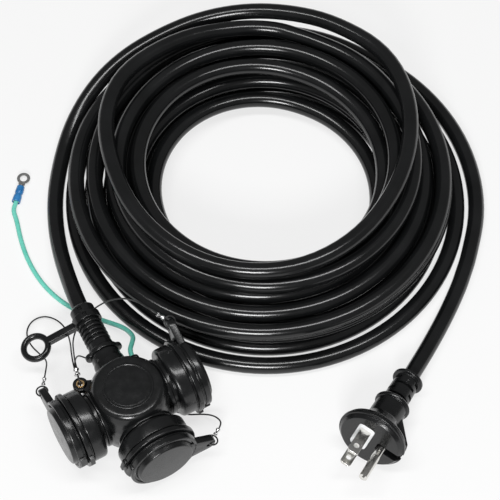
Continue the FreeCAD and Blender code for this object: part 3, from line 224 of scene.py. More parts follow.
class Solid:
    """A mesh in the making, in millimetres."""

    def __init__(self) -> None:
        """Starts with nothing in it."""
        self.points: list[Vector] = []
        self.faces: list[tuple[int, ...]] = []

    def skin(self, rings: Sequence[Ring], joined: bool = False) -> "Solid":
        """Adds a closed skin over rings of as many points each.

        Args:
            rings: The rings, in order.
            joined: Whether the last ring meets the first one, so that neither gets a lid.

        Returns:
            This solid.
        """
        start, count, rows = len(self.points), len(rings[0]), len(rings)
        for ring in rings:
            self.points.extend(ring)
        for row in range(rows if joined else rows - 1):
            a, b = start + row * count, start + (row + 1) % rows * count
            for i in range(count):
                j = (i + 1) % count
                self.faces.append((a + i, a + j, b + j, b + i))
        if not joined:
            self.faces.append(tuple(start + i for i in reversed(range(count))))
            self.faces.append(tuple(start + (rows - 1) * count + i for i in range(count)))
        return self

    def lathe(
        self,
        corners: Sequence[Corner],
        place: Matrix,
        facets: Facets = Facets.HUB,
        joined: bool = False,
    ) -> "Solid":
        """Adds a rounded outline turned about X.

        Args:
            corners: Each corner's place along X, its distance from X and its rounding.
            place: The frame that it is turned in.
            facets: How many points go round.
            joined: Whether the outline's end meets its start, as in a ring.

        Returns:
            This solid.
        """
        turns = [2 * math.pi * i / facets for i in range(facets)]
        ways = [(math.cos(turn), math.sin(turn)) for turn in turns]
        rings = []
        for x, distance in rounded(corners):
            radius = max(distance, POLE_RADIUS)
            rings.append([place @ Vector((x, radius * a, radius * b)) for a, b in ways])
        return self.skin(rings, joined)

    def rod(
        self,
        span: Flat,
        radius: float,
        place: Matrix,
        facets: Facets = Facets.HUB,
        edges: Flat = (0.0, 0.0),
    ) -> "Solid":
        """Adds a round rod along X.

        Args:
            span: Where it starts and ends.
            radius: Its radius.
            place: The frame that it lies in.
            facets: How many points go round.
            edges: The rounding of its edge at its start and at its end.

        Returns:
            This solid.
        """
        (start, end), (first, last) = span, edges
        corners = [(start, 0.0, 0.0), (start, radius, first), (end, radius, last), (end, 0.0, 0.0)]
        return self.lathe(corners, place, facets)

    def stack(self, layers: Iterable[Layer], place: Matrix, axis: str = "Z") -> "Solid":
        """Adds a skin over outlines that lie across an axis.

        Args:
            layers: Each outline's level along the axis, and its points as the other two coordinates.
            place: The frame that they lie in.
            axis: The axis.

        Returns:
            This solid.
        """
        at = "XYZ".index(axis)
        rings = []
        for level, outline in layers:
            rings.append([place @ Vector((*spot[:at], level, *spot[at:])) for spot in outline])
        return self.skin(rings)

    def plate(
        self,
        outline: Sequence[Flat],
        span: Flat,
        place: Matrix,
        edge: float = 0.4,
        hole: Corner | None = None,
    ) -> "Solid":
        """Adds a flat piece with rounded edges, raised along X from an outline across it.

        Args:
            outline: The outline's points, as Y and Z.
            span: Where it starts and ends along X.
            place: The frame that it is raised in.
            edge: The rounding of its edges.
            hole: A hole's middle and radius, or nothing.

        Returns:
            This solid.
        """
        low, high = span
        flat = [Vector(p) for p in outline]
        middle = Vector(hole[:2]) if hole else sum(flat, Vector((0, 0))) / len(flat)

        def ring(x: float, inset: float) -> Ring:
            """One outline of the skin.

            Args:
                x: Its place along X.
                inset: How far it is drawn in.

            Returns:
                Its points.
            """
            found = []
            for i, point in enumerate(flat):
                along = (flat[(i + 1) % len(flat)] - flat[i - 1]).normalized()
                normal = Vector((along.y, -along.x))
                if normal.dot(point - middle) < 0:
                    normal = -normal
                moved = point - normal * inset
                found.append(place @ Vector((x, moved.x, moved.y)))
            return found

        arc = [math.radians(degrees) for degrees in (0.0, 30.0, 60.0, 90.0)]
        bends = [(edge * (1 - math.cos(a)), edge * (1 - math.sin(a))) for a in arc]
        rings = [ring(low + rise, inset) for rise, inset in bends]
        rings += [ring(high - rise, inset) for rise, inset in reversed(bends)]
        if hole is None:
            return self.skin(rings)
        inner = [middle + (point - middle).normalized() * hole[2] for point in flat]
        bottom, top = ([place @ Vector((x, p.x, p.y)) for p in inner] for x in span)
        return self.skin([bottom, *rings, top], joined=True)

    def tube(self, path: Sequence[Vector], radius: float) -> "Solid":
        """Adds a thin round wire along a path.

        Args:
            path: The path's many points.
            radius: The wire's radius.

        Returns:
            This solid.
        """
        turns = [2 * math.pi * k / Facets.WIRE for k in range(Facets.WIRE)]
        ways = [(radius * math.cos(turn), radius * math.sin(turn)) for turn in turns]
        rings: list[Ring] = []
        across = None
        for i, point in enumerate(path):
            way = (path[min(i + 1, len(path) - 1)] - path[max(i - 1, 0)]).normalized()
            if across is None:
                across = way.orthogonal().normalized()
            across = (across - way * across.dot(way)).normalized()
            other = way.cross(across)
            rings.append([point + across * a + other * b for a, b in ways])
        return self.skin(rings)

    def mesh(self, name: str) -> bpy.types.Mesh:
        """Makes the mesh, in metres, with its faces pointing outwards.

        Args:
            name: Its name.

        Returns:
            The mesh.
        """
        mesh = bpy.data.meshes.new(name)
        mesh.from_pydata([p * MM for p in self.points], [], self.faces)
        mesh.validate()
        work = bmesh.new()
        work.from_mesh(mesh)
        bmesh.ops.remove_doubles(work, verts=work.verts, dist=WELD * MM)
        bmesh.ops.recalc_face_normals(work, faces=work.faces)
        work.to_mesh(mesh)
        work.free()
        return mesh

    def piece(self, name: str) -> bpy.types.Object:
        """The finished mesh as an object in the scene."""
        return in_scene(name, self.mesh(name))


def in_scene(name: str, data: bpy.types.ID) -> bpy.types.Object:
    """Makes a new object in the scene.

    Args:
        name: Its name.
        data: The mesh, curve, lamp or camera that it holds.

    Returns:
        The object.
    """
    thing = bpy.data.objects.new(name, data)
    bpy.context.scene.collection.objects.link(thing)
    return thing


def plain_mesh(thing: bpy.types.Object) -> bpy.types.Mesh:
    """An object's mesh as its modifiers or its curve leave it."""
    view = bpy.context.evaluated_depsgraph_get()
    return bpy.data.meshes.new_from_object(thing.evaluated_get(view), depsgraph=view)


def baked(thing: bpy.types.Object) -> bpy.types.Object:
    """Applies an object's modifiers to its mesh.

    Args:
        thing: The object.

    Returns:
        The same object.
    """
    mesh = plain_mesh(thing)
    thing.modifiers.clear()
    thing.data = mesh
    return thing


def smooth(thing: bpy.types.Object, crease: float = 40.0) -> bpy.types.Object:
    """Shades a piece smooth, but for its sharp edges.

    Args:
        thing: The piece.
        crease: The angle, in degrees, over which an edge stays sharp.

    Returns:
        The same piece.
    """
    thing.data.shade_smooth()
    thing.data.set_sharp_from_angle(angle=math.radians(crease))
    return thing


def carved(thing: bpy.types.Object, cutter: Solid) -> bpy.types.Object:
    """Cuts a solid out of a piece.

    Args:
        thing: The piece.
        cutter: What is cut out of it.

    Returns:
        The same piece.
    """
    tool = cutter.piece(thing.name + "_cutter")
    step = thing.modifiers.new("cut", "BOOLEAN")
    step.operation = "DIFFERENCE"
    step.solver = "EXACT"
    step.use_self = True
    step.object = tool
    baked(thing)
    bpy.data.objects.remove(tool)
    return thing


def merged(things: Sequence[bpy.types.Object], name: str) -> bpy.types.Object:
    """Puts several pieces into one.

    Args:
        things: The pieces, which are gone after it.
        name: The new piece's name.

    Returns:
        The new piece.
    """
    work = bmesh.new()
    for thing in things:
        work.from_mesh(thing.data)
    mesh = bpy.data.meshes.new(name)
    work.to_mesh(mesh)
    work.free()
    for thing in things:
        bpy.data.objects.remove(thing)
    return in_scene(name, mesh)


def melted(thing: bpy.types.Object, grain: float, passes: int) -> bpy.types.Object:
    """Runs overlapping solids together as one moulding with soft corners.

    Args:
        thing: The piece, made of closed solids.
        grain: The size of the new faces, in millimetres.
        passes: How often the corners are softened.

    Returns:
        The same piece.
    """
    cast = thing.modifiers.new("cast", "REMESH")
    cast.mode = "VOXEL"
    cast.voxel_size = grain * MM
    soft = thing.modifiers.new("soft", "SMOOTH")
    soft.factor = 0.5
    soft.iterations = passes
    return baked(thing)


# Node trees and finishes


def add_node(tree: bpy.types.NodeTree, kind: str, **inputs: object) -> bpy.types.Node:
    """Adds a node to a tree.

    Args:
        tree: The tree.
        kind: The node's type.
        inputs: A value or another node's output for each input, whose name has underscores for blanks.

    Returns:
        The node.
    """
    node = tree.nodes.new(kind)
    for name, given in inputs.items():
        socket = node.inputs[name.replace("_", " ")]
        if isinstance(given, bpy.types.NodeSocket):
            tree.links.new(given, socket)
        else:
            socket.default_value = given
    return node


class Shader:
    """One material's nodes."""

    def __init__(self, name: str, **sockets: float) -> None:
        """Starts a material.

        Args:
            name: Its name.
            sockets: Values of its surface shader's inputs, whose names have underscores for blanks.
        """
        self.material = bpy.data.materials.new(name)
        self.material.use_nodes = True
        self.tree = self.material.node_tree
        self.surface = self.tree.nodes["Principled BSDF"]
        self.place = self.tree.nodes.new("ShaderNodeTexCoord").outputs["Object"]
        for socket, value in sockets.items():
            self.surface.inputs[socket.replace("_", " ")].default_value = value

    def noise(self, scale: float, detail: float = 2.0) -> bpy.types.NodeSocket:
        """A noise on the piece's own coordinates, per metre."""
        grain = add_node(self.tree, "ShaderNodeTexNoise", Vector=self.place, Scale=scale, Detail=detail)
        return grain.outputs["Fac"]

    def colour(self, source: bpy.types.NodeSocket, low: Colour, high: Colour) -> None:
        """Tints the surface between two colours.

        Args:
            source: The noise that mixes them.
            low: The colour where it is low.
            high: The colour where it is high.
        """
        ramp = add_node(self.tree, "ShaderNodeValToRGB", Fac=source)
        for stop, position, tint in zip(ramp.color_ramp.elements, (NOISE_LOW, NOISE_HIGH), (low, high)):
            stop.position = position
            stop.color = (*tint, 1.0)
        self.tree.links.new(ramp.outputs["Color"], self.surface.inputs["Base Color"])

    def rough(self, source: bpy.types.NodeSocket, low: float, high: float) -> None:
        """Varies the surface's roughness by a noise."""
        step = add_node(self.tree, "ShaderNodeMapRange", Value=source,
                        From_Min=NOISE_LOW, From_Max=NOISE_HIGH, To_Min=low, To_Max=high)
        self.tree.links.new(step.outputs["Result"], self.surface.inputs["Roughness"])

    def relief(self, source: bpy.types.NodeSocket, depth: float) -> None:
        """Raises the surface by a noise, by a depth in millimetres."""
        bump = add_node(self.tree, "ShaderNodeBump", Height=source, Distance=depth * MM, Strength=1.0)
        self.tree.links.new(bump.outputs["Normal"], self.surface.inputs["Normal"])


@dataclass(frozen=True)
class Rubber:
    """Moulded or drawn black rubber: a fine grain, a faint mottle and a soft gloss."""

    name: str
    dark: Colour = (0.0045, 0.0048, 0.005)
    pale: Colour = (0.0085, 0.009, 0.0095)
    gloss: Flat = (0.19, 0.29)
    grain_scale: float = 1300.0
    grain_depth: float = 0.03
    mottle_scale: float = 90.0

    def build(self) -> bpy.types.Material:
        """Makes the material."""
        shader = Shader(self.name, Specular_IOR_Level=0.5)
        shader.colour(shader.noise(self.mottle_scale, 3.0), self.dark, self.pale)
        shader.rough(shader.noise(self.mottle_scale * 2.7), *self.gloss)
        shader.relief(shader.noise(self.grain_scale, 3.0), self.grain_depth)
        return shader.material


@dataclass(frozen=True)
class Metal:
    """A plated or plain metal, whose fine grain also varies its gloss."""

    name: str
    dark: Colour
    pale: Colour
    gloss: Flat = (0.18, 0.32)
    tint_scale: float = 160.0
    grain_scale: float = 700.0
    grain_depth: float = 0.006

    def build(self) -> bpy.types.Material:
        """Makes the material."""
        shader = Shader(self.name, Metallic=1.0)
        grain = shader.noise(self.grain_scale, 4.0)
        shader.colour(shader.noise(self.tint_scale, 3.0), self.dark, self.pale)
        shader.rough(grain, *self.gloss)
        shader.relief(grain, self.grain_depth)
        return shader.material


@dataclass(frozen=True)
class Plastic:
    """A moulded plastic with a fine grain."""

    name: str
    dark: Colour
    pale: Colour
    gloss: Flat = (0.35, 0.5)
    coat: float = 0.0
    tint_scale: float = 140.0
    gloss_scale: float = 420.0
    grain_scale: float = 1500.0
    grain_depth: float = 0.008

    def build(self) -> bpy.types.Material:
        """Makes the material."""
        shader = Shader(self.name, Specular_IOR_Level=0.5, Coat_Weight=self.coat, Coat_Roughness=0.12)
        shader.colour(shader.noise(self.tint_scale, 3.0), self.dark, self.pale)
        shader.rough(shader.noise(self.gloss_scale), *self.gloss)
        shader.relief(shader.noise(self.grain_scale, 3.0), self.grain_depth)
        return shader.material


class Finishes:
    """Every finish on the object, made once, by the record's slot."""

    def __init__(self) -> None:
        """Makes the materials."""
        finishes = (
            Rubber("black_rubber"),
            Rubber("cord_sheath", gloss=(0.15, 0.21), mottle_scale=45.0, grain_scale=1800.0, grain_depth=0.005),
            Rubber("gasket_rubber", dark=(0.02, 0.02, 0.02), pale=(0.035, 0.035, 0.034), gloss=(0.6, 0.75)),
            Plastic("black_plastic", (0.018, 0.019, 0.02), (0.03, 0.031, 0.033)),
            Plastic("pale_insert", (0.78, 0.79, 0.80), (0.88, 0.89, 0.90)),
            Plastic("core_black", (0.02, 0.02, 0.02), (0.03, 0.03, 0.03)),
            Plastic("core_white", (0.78, 0.78, 0.75), (0.86, 0.86, 0.84)),
            Plastic("core_green", (0.03, 0.33, 0.12), (0.05, 0.40, 0.15)),
            Plastic("green_wire", (0.13, 0.60, 0.47), (0.20, 0.70, 0.57), gloss=(0.28, 0.38), coat=0.2),
            Plastic("blue_sleeve", (0.02, 0.16, 0.42), (0.04, 0.24, 0.56), gloss=(0.2, 0.3), coat=0.3),
            Metal("brass", (0.58, 0.38, 0.17), (0.74, 0.54, 0.29), gloss=(0.26, 0.4)),
            Metal("nickel", (0.70, 0.69, 0.66), (0.80, 0.79, 0.76), gloss=(0.16, 0.28)),
            Metal("tinned_metal", (0.58, 0.58, 0.57), (0.70, 0.70, 0.69), gloss=(0.24, 0.36)),
            Metal("steel_pin", (0.66, 0.66, 0.66), (0.78, 0.78, 0.78)),
            Metal("crimp", (0.80, 0.80, 0.80), (0.90, 0.90, 0.90), gloss=(0.2, 0.36)),
            Plastic("wire", (0.012, 0.012, 0.012), (0.03, 0.03, 0.03), gloss=(0.3, 0.45)),
        )
        self.materials = {finish.name: finish.build() for finish in finishes}

    def dress(self, thing: bpy.types.Object, slot: str) -> bpy.types.Object:
        """Gives a piece the finish of a slot.

        Args:
            thing: The piece.
            slot: The slot.

        Returns:
            The same piece.
        """
        thing.data.materials.clear()
        thing.data.materials.append(self.materials[slot])
        return thing

    def dress_node(self, node: str, slot: str) -> None:
        """Gives a node of the frame a finish.

        Args:
            node: The node's name.
            slot: The finish's slot.
        """
        thing = frame["nodes"][node]
        if not thing.material_slots:
            thing.data.materials.append(self.materials[slot])
        for place in thing.material_slots:
            place.material = self.materials[slot]


FINISHES = Finishes()


def placed(thing: bpy.types.Object, slot: str, body: str, *nodes: str) -> bpy.types.Object:
    """Dresses a new piece and sets it on its body in the place of nodes.

    Args:
        thing: The piece.
        slot: The finish's slot.
        body: The body that it rides on.
        nodes: The nodes that it stands for.

    Returns:
        The piece.
    """
    FINISHES.dress(thing, slot)
    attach(thing, body)
    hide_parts(*nodes)
    LOG.info("%s stands for %s", thing.name, ", ".join(nodes))
    return thing


# Repeats


@dataclass(frozen=True)
class RingRow:
    """A row of like rings about X, made by a tree of geometry nodes."""

    count: int
    pitch: float
    start: float
    radius: float
    width: float
    depth: float
    facets: Facets = Facets.RING
    edge: float = 0.5
    edge_steps: int = 3

    def build(self, name: str, slot: str, place: Matrix) -> bpy.types.Object:
        """Makes the row.

        Args:
            name: The piece's name.
            slot: The finish's slot.
            place: The frame that the rings lie in.

        Returns:
            The rings as one plain mesh.
        """
        tree = bpy.data.node_groups.new(name + "_tree", "GeometryNodeTree")
        tree.interface.new_socket("Geometry", in_out="OUTPUT", socket_type="NodeSocketGeometry")
        inputs = (
            ("Count", "NodeSocketInt", self.count),
            ("Start", "NodeSocketVector", (self.start * MM, 0.0, 0.0)),
            ("Pitch", "NodeSocketVector", (self.pitch * MM, 0.0, 0.0)),
            ("Ring Radius", "NodeSocketFloat", (self.radius - self.depth / 2) * MM),
            ("Ring Width", "NodeSocketFloat", self.width * MM),
            ("Ring Depth", "NodeSocketFloat", self.depth * MM),
            ("Material", "NodeSocketMaterial", FINISHES.materials[slot]),
        )
        values = {}
        for label, kind, value in inputs:
            socket = tree.interface.new_socket(label, in_out="INPUT", socket_type=kind)
            values[socket.identifier] = value
        self.link(tree)
        thing = in_scene(name, bpy.data.meshes.new(name))
        step = thing.modifiers.new("repeat", "NODES")
        step.node_group = tree
        for identifier, value in values.items():
            step[identifier] = value
        metres = place.copy()
        metres.translation = place.translation * MM
        baked(thing).data.transform(metres)
        return thing

    def link(self, tree: bpy.types.NodeTree) -> None:
        """Fills the tree: a line of points, and at each of them one ring with rounded edges.

        Args:
            tree: The tree, with its inputs and its output.
        """
        given = tree.nodes.new("NodeGroupInput").outputs
        line = add_node(tree, "GeometryNodeMeshLine", Count=given["Count"], Start_Location=given["Start"],
                        Offset=given["Pitch"])
        circle = add_node(tree, "GeometryNodeCurvePrimitiveCircle", Radius=given["Ring Radius"],
                          Resolution=int(self.facets))
        section = add_node(tree, "GeometryNodeCurvePrimitiveQuadrilateral", Width=given["Ring Depth"],
                           Height=given["Ring Width"])
        soft = add_node(tree, "GeometryNodeFilletCurve", Curve=section.outputs["Curve"])
        soft.mode = "POLY"
        soft.inputs["Count"].default_value = self.edge_steps
        soft.inputs["Radius"].default_value = self.edge * MM
        ring = add_node(tree, "GeometryNodeCurveToMesh", Curve=circle.outputs["Curve"],
                        Profile_Curve=soft.outputs["Curve"])
        copies = add_node(tree, "GeometryNodeInstanceOnPoints", Points=line.outputs["Mesh"],
                          Instance=ring.outputs["Mesh"], Rotation=(0.0, math.pi / 2, 0.0))
        real = add_node(tree, "GeometryNodeRealizeInstances", Geometry=copies.outputs["Instances"])
        dressed = add_node(tree, "GeometryNodeSetMaterial", Geometry=real.outputs["Geometry"],
                           Material=given["Material"])
        add_node(tree, "NodeGroupOutput", Geometry=dressed.outputs["Geometry"])


# The tap


def lug_outline(reach: float, root: float, width: float) -> list[Flat]:
    """The outline of the lug opposite a tab, on a cap or on a barrel's mouth.

    Args:
        reach: How far from the axis it ends.
        root: How far from the axis it starts.
        width: Its width at its end.

    Returns:
        The outline's points.
    """
    half, flare, edge = width / 2, 0.8, 1.6
    return rounded([(-reach, 0.0, 0.0), (-reach, half, edge), (-root, half + flare, 0.0),
                    (-root, -half - flare, 0.0), (-reach, -half, edge)])


@dataclass
class TapBody:
    """The moulded hub with its three outlet barrels, the cord's arm, the ear and the earth lead's boss."""

    hub_radius: float = 22.6
    hub_flat: float = 17.5
    hub_half_height: float = 19.2
    hub_bevel: Flat = (1.3, 1.7)
    hub_shoulder: Corner = (14.2, 21.1, 3.0)
    hub_side: float = 7.0
    hub_belly: float = 0.3
    neck_radius: float = 14.8
    neck_end: float = 21.5
    bead_start: float = 18.4
    bead_end: float = 20.8
    bead_radius: float = 16.2
    barrel_root: float = 12.0
    barrel_back: float = 23.0
    barrel_round: float = 4.0
    barrel_front: float = 31.2
    barrel_radius: float = 19.9
    groove: float = 0.9
    groove_depth: float = 1.2
    ring_radius: float = 21.3
    ring_width: float = 2.9
    lip_radius: float = 17.3
    lip_length: float = 1.9
    mouth_radius: float = 15.7
    lug_width: float = 7.0
    lug_rise: float = 1.3
    lug_root: float = 2.0
    lug_inset: float = 0.1
    arm_radius: float = 9.0
    arm_step: float = 28.0
    arm_step_radius: float = 8.4
    arm_end: float = 33.3
    ear_radius: float = 4.2
    ear_thickness: float = 3.4
    ear_hole: float = 2.1
    web_root: float = 6.0
    web_half_widths: Corner = (5.6, 4.1, 3.2)
    web_taper: float = 2.5
    web_overlap: float = 0.4
    web_edge: float = 0.5
    web_edge_share: float = 1 / 12
    boss_offset: float = 13.0
    boss_radius: float = 3.4
    boss_start: float = 8.0
    boss_end: float = 25.0
    grain: float = 0.6
    soft_passes: int = 14

    def hub(self) -> bpy.types.Object:
        """Makes the dome, the necks, the arm and the boss, run together.

        Returns:
            The piece.
        """
        high, (down, out) = self.hub_half_height, self.hub_bevel
        half = [
            (high, self.hub_flat, 0.7),
            (high - down, self.hub_flat + out, 1.2),
            self.hub_shoulder,
            (self.hub_side, self.hub_radius, 5.0),
        ]
        corners = [(high, 0.0, 0.0), *half, (0.0, self.hub_radius + self.hub_belly, 6.0)]
        corners += [(-x, r, c) for x, r, c in reversed(half)] + [(-high, 0.0, 0.0)]
        solid = Solid().lathe(corners, upright(PLACES.hub))
        for side in Side:
            solid.rod((0.0, self.neck_end), self.neck_radius, PLACES.arm(side.arm_turn))
        arm = [
            (0.0, 0.0, 0.0),
            (0.0, self.arm_radius, 0.0),
            (self.arm_step, self.arm_radius, 1.2),
            (self.arm_step, self.arm_step_radius, 0.4),
            (self.arm_end, self.arm_step_radius, 0.5),
            (self.arm_end, 0.0, 0.0),
        ]
        solid.lathe(arm, PLACES.cord_arm)
        boss = PLACES.cord_arm @ shift(0.0, -self.boss_offset)
        solid.rod((self.boss_start, self.boss_end), self.boss_radius, boss, Facets.SMALL, (0.0, 0.8))
        return melted(solid.piece("hub_shell"), self.grain, self.soft_passes)

    def barrel(self, side: Side) -> Solid:
        """Shapes one outlet's barrel, with the bead at its neck, its grooved mouth and its lug.

        Args:
            side: The outlet.

        Returns:
            The barrel.
        """
        edge = self.barrel_front + self.groove
        mouth = edge + self.ring_width
        lip = mouth + self.lip_length
        wall, neck = self.barrel_radius, self.neck_radius
        corners = [
            # the neck and its bead
            (self.barrel_root, 0.0, 0.0),
            (self.barrel_root, neck - 1.5, 0.0),
            (self.bead_start - 0.2, neck + 0.1, 0.3),
            (self.bead_start, self.bead_radius, 0.7),
            (self.bead_end, self.bead_radius, 0.7),
            (self.bead_end + 0.2, neck + 0.2, 0.3),
            (self.barrel_back, neck + 0.2, 0.4),
            # the wall and the groove before the ring
            (self.barrel_back, wall, self.barrel_round),
            (self.barrel_front, wall, 0.6),
            (self.barrel_front, wall - self.groove_depth, 0.2),
            (edge, wall - self.groove_depth, 0.2),
            # the ring, the lip and the floor of the mouth
            (edge, self.ring_radius, 0.7),
            (mouth, self.ring_radius, 0.8),
            (mouth, self.lip_radius, 0.3),
            (lip, self.lip_radius, 0.5),
            (lip, self.mouth_radius, 0.4),
            (edge, self.mouth_radius, 0.0),
            (edge, 0.0, 0.0),
        ]
        solid = Solid().lathe(corners, PLACES.arm(side.arm_turn), Facets.OUTLET)
        lug = lug_outline(self.ring_radius + self.lug_rise, self.ring_radius - self.lug_root, self.lug_width)
        return solid.plate(lug, (edge + self.lug_inset, mouth - self.lug_inset), PLACES.cap(side))

    def ear(self) -> Solid:
        """Shapes the ear that holds the eyelet, on a web from the hub.

        Returns:
            The ear.
        """
        half, edge = self.ear_thickness / 2, self.web_edge
        ring = [(-half, self.ear_hole, 0.0), (-half, self.ear_radius, 0.6), (half, self.ear_radius, 0.6),
                (half, self.ear_hole, 0.0)]
        solid = Solid().lathe(ring, upright(PLACES.ear), Facets.EYELET, joined=True)
        reach = PLACES.ear_distance - self.ear_hole - self.web_overlap
        ends = (self.web_root - self.hub_radius, self.web_taper - reach, -reach)
        flank = list(zip(self.web_half_widths, ends))
        outline = [(-y, z) for y, z in flank] + flank[::-1]
        narrow = 1 - self.web_edge_share
        layers = []
        for level, share in ((-half, narrow), (edge - half, 1.0), (half - edge, 1.0), (half, narrow)):
            layers.append((level, [(y * share, z) for y, z in outline]))
        return solid.stack(layers, upright(PLACES.ear @ shift(-PLACES.ear_distance)), "X")

    def build(self) -> None:
        """Makes the whole moulding."""
        parts = [self.hub()]
        for side in Side:
            parts.append(self.barrel(side).piece(side.label + "_barrel"))
        parts.append(self.ear().piece("ear"))
        body = smooth(merged(parts, "tap_moulding"), MOULDED_CREASE)
        placed(body, "black_rubber", "tap", "tap_body")


@dataclass
class Eyelet:
    """The thin brass eyelet in the ear, with its rolled rims."""

    bore: float = 1.62
    wall: float = 0.3
    rim: float = 2.35
    rim_height: float = 0.45
    half: float = TapBody.ear_thickness / 2

    def build(self) -> None:
        """Makes the eyelet."""
        far = self.half + self.rim_height
        low = [(-far, self.bore, 0.3), (-far, self.rim, 0.25), (-self.half, self.rim, 0.1),
               (-self.half, self.bore + self.wall, 0.1)]
        corners = low + [(-x, r, c) for x, r, c in reversed(low)]
        ring = Solid().lathe(corners, upright(PLACES.ear), Facets.EYELET, joined=True)
        placed(smooth(ring.piece("brass_eyelet"), SMALL_CREASE), "brass", "tap", "tether_eyelet")


@dataclass
class Medallion:
    """The round plate on the hub, which is bare but for a raised rim."""

    radius: float = 13.8
    base: float = 18.2
    top: float = 19.95
    rim: float = 1.0
    rim_groove: float = 0.25
    field_drop: float = 0.05

    def build(self) -> None:
        """Makes the plate."""
        inside, groove, level = self.radius - self.rim, self.top - self.rim_groove, self.top - self.field_drop
        corners = [
            (self.base, 0.0, 0.0),
            (self.base, self.radius, 0.2),
            (self.top, self.radius, 0.5),
            (self.top, inside, 0.2),
            (groove, inside - 0.25, 0.2),
            (groove, inside - 0.6, 0.2),
            (level, inside - 0.9, 0.3),
            (level, 0.0, 0.0),
        ]
        plate = Solid().lathe(corners, upright(PLACES.hub))
        placed(smooth(plate.piece("hub_plate")), "black_rubber", "tap", "medallion")


@dataclass
class Cap:
    """One outlet's rainproof cap, with its tab."""

    inner: float = 37.2
    outer: float = 40.2
    radius: float = 19.8
    skirt: float = 35.3
    skirt_inner: float = 17.65
    spigot: float = 34.6
    spigot_radius: float = 15.3
    spigot_wall: float = 1.8
    disc: float = 17.1
    rise: float = 2.1
    groove: float = 0.8
    tab_reach: float = 27.6
    tab_radius: float = 4.2
    tab_thickness: float = 4.2
    tab_root: float = 11.7
    tab_edge: float = 0.6
    hole: float = 1.5
    lug_width: float = 7.0
    lug_rise: float = 1.1
    lug_root: float = 3.0
    lug_drop: float = 0.3
    lug_edge: float = 0.5

    def tab_outline(self) -> list[Flat]:
        """Draws the tab as the tangents of the cap's disc and of the tab's round end.

        Returns:
            The outline's points.
        """
        lean = math.acos((self.tab_root - self.tab_radius) / self.tab_reach)

        def spot(middle: float, radius: float, share: float) -> Flat:
            """A point on a circle, at a share of the way to a tangent."""
            return middle + radius * math.cos(lean * share), radius * math.sin(lean * share)

        root = [spot(0.0, self.tab_root, share) for share in (1.0, 0.5, 0.0, -0.5, -1.0)]
        end = [spot(self.tab_reach, self.tab_radius, step / 8 - 1.0) for step in range(17)]
        flank = [tuple(Vector(root[-1]).lerp(Vector(end[0]), step / 4)) for step in (1, 2, 3)]
        return root + flank + end + [(y, -z) for y, z in reversed(flank)]

    def build(self, side: Side) -> None:
        """Makes the cap of one outlet.

        Args:
            side: The outlet.
        """
        inside = self.spigot_radius - self.spigot_wall
        crown, floor = self.outer + self.rise, self.outer - self.groove
        corners = [
            # the inside, with its spigot
            (self.inner, 0.0, 0.0),
            (self.inner, inside, 0.3),
            (self.spigot, inside, 0.3),
            (self.spigot, self.spigot_radius, 0.4),
            (self.inner, self.spigot_radius, 0.2),
            (self.inner, self.skirt_inner, 0.2),
            # the skirt, with the line near its edge
            (self.skirt, self.skirt_inner, 0.3),
            (self.skirt, self.radius - 0.5, 0.4),
            (self.skirt + 0.9, self.radius - 0.3, 0.3),
            (self.skirt + 1.1, self.radius - 0.7, 0.15),
            (self.skirt + 1.5, self.radius - 0.7, 0.15),
            (self.skirt + 1.7, self.radius, 0.3),
            # the top, with the groove round its disc
            (self.outer, self.radius, 0.9),
            (self.outer, self.disc + 1.1, 0.3),
            (floor, self.disc + 0.7, 0.2),
            (floor, self.disc - 0.2, 0.2),
            (crown, self.disc - 1.3, 0.9),
            (crown, 0.0, 0.0),
        ]
        turned, base = PLACES.cap(side), self.outer - self.tab_thickness
        solid = Solid().lathe(corners, PLACES.arm(side.arm_turn), Facets.OUTLET)
        hole = (self.tab_reach, 0.0, self.hole)
        solid.plate(self.tab_outline(), (base, self.outer), turned, self.tab_edge, hole)
        lug = lug_outline(self.radius + self.lug_rise, self.radius - self.lug_root, self.lug_width)
        solid.plate(lug, (base, self.outer - self.lug_drop), turned, self.lug_edge)
        cap = smooth(solid.piece(side.label + "_cap_moulding"), MOULDED_CREASE)
        placed(cap, "black_rubber", side.body, side.label + "_cap")


def square_hole(middle: Flat, width: float, deep: float, out: float) -> Solid:
    """A square cutter over the cord's arm.

    Args:
        middle: Its middle along and across the arm.
        width: Its width.
        deep: How far from the axis it starts.
        out: How far from the axis it ends.

    Returns:
        The cutter.
    """
    (x, y), half = middle, width / 2
    ring = [(x - half, y - half), (x + half, y - half), (x + half, y + half), (x - half, y + half)]
    return Solid().stack([(deep, ring), (out, ring)], PLACES.cord_arm)


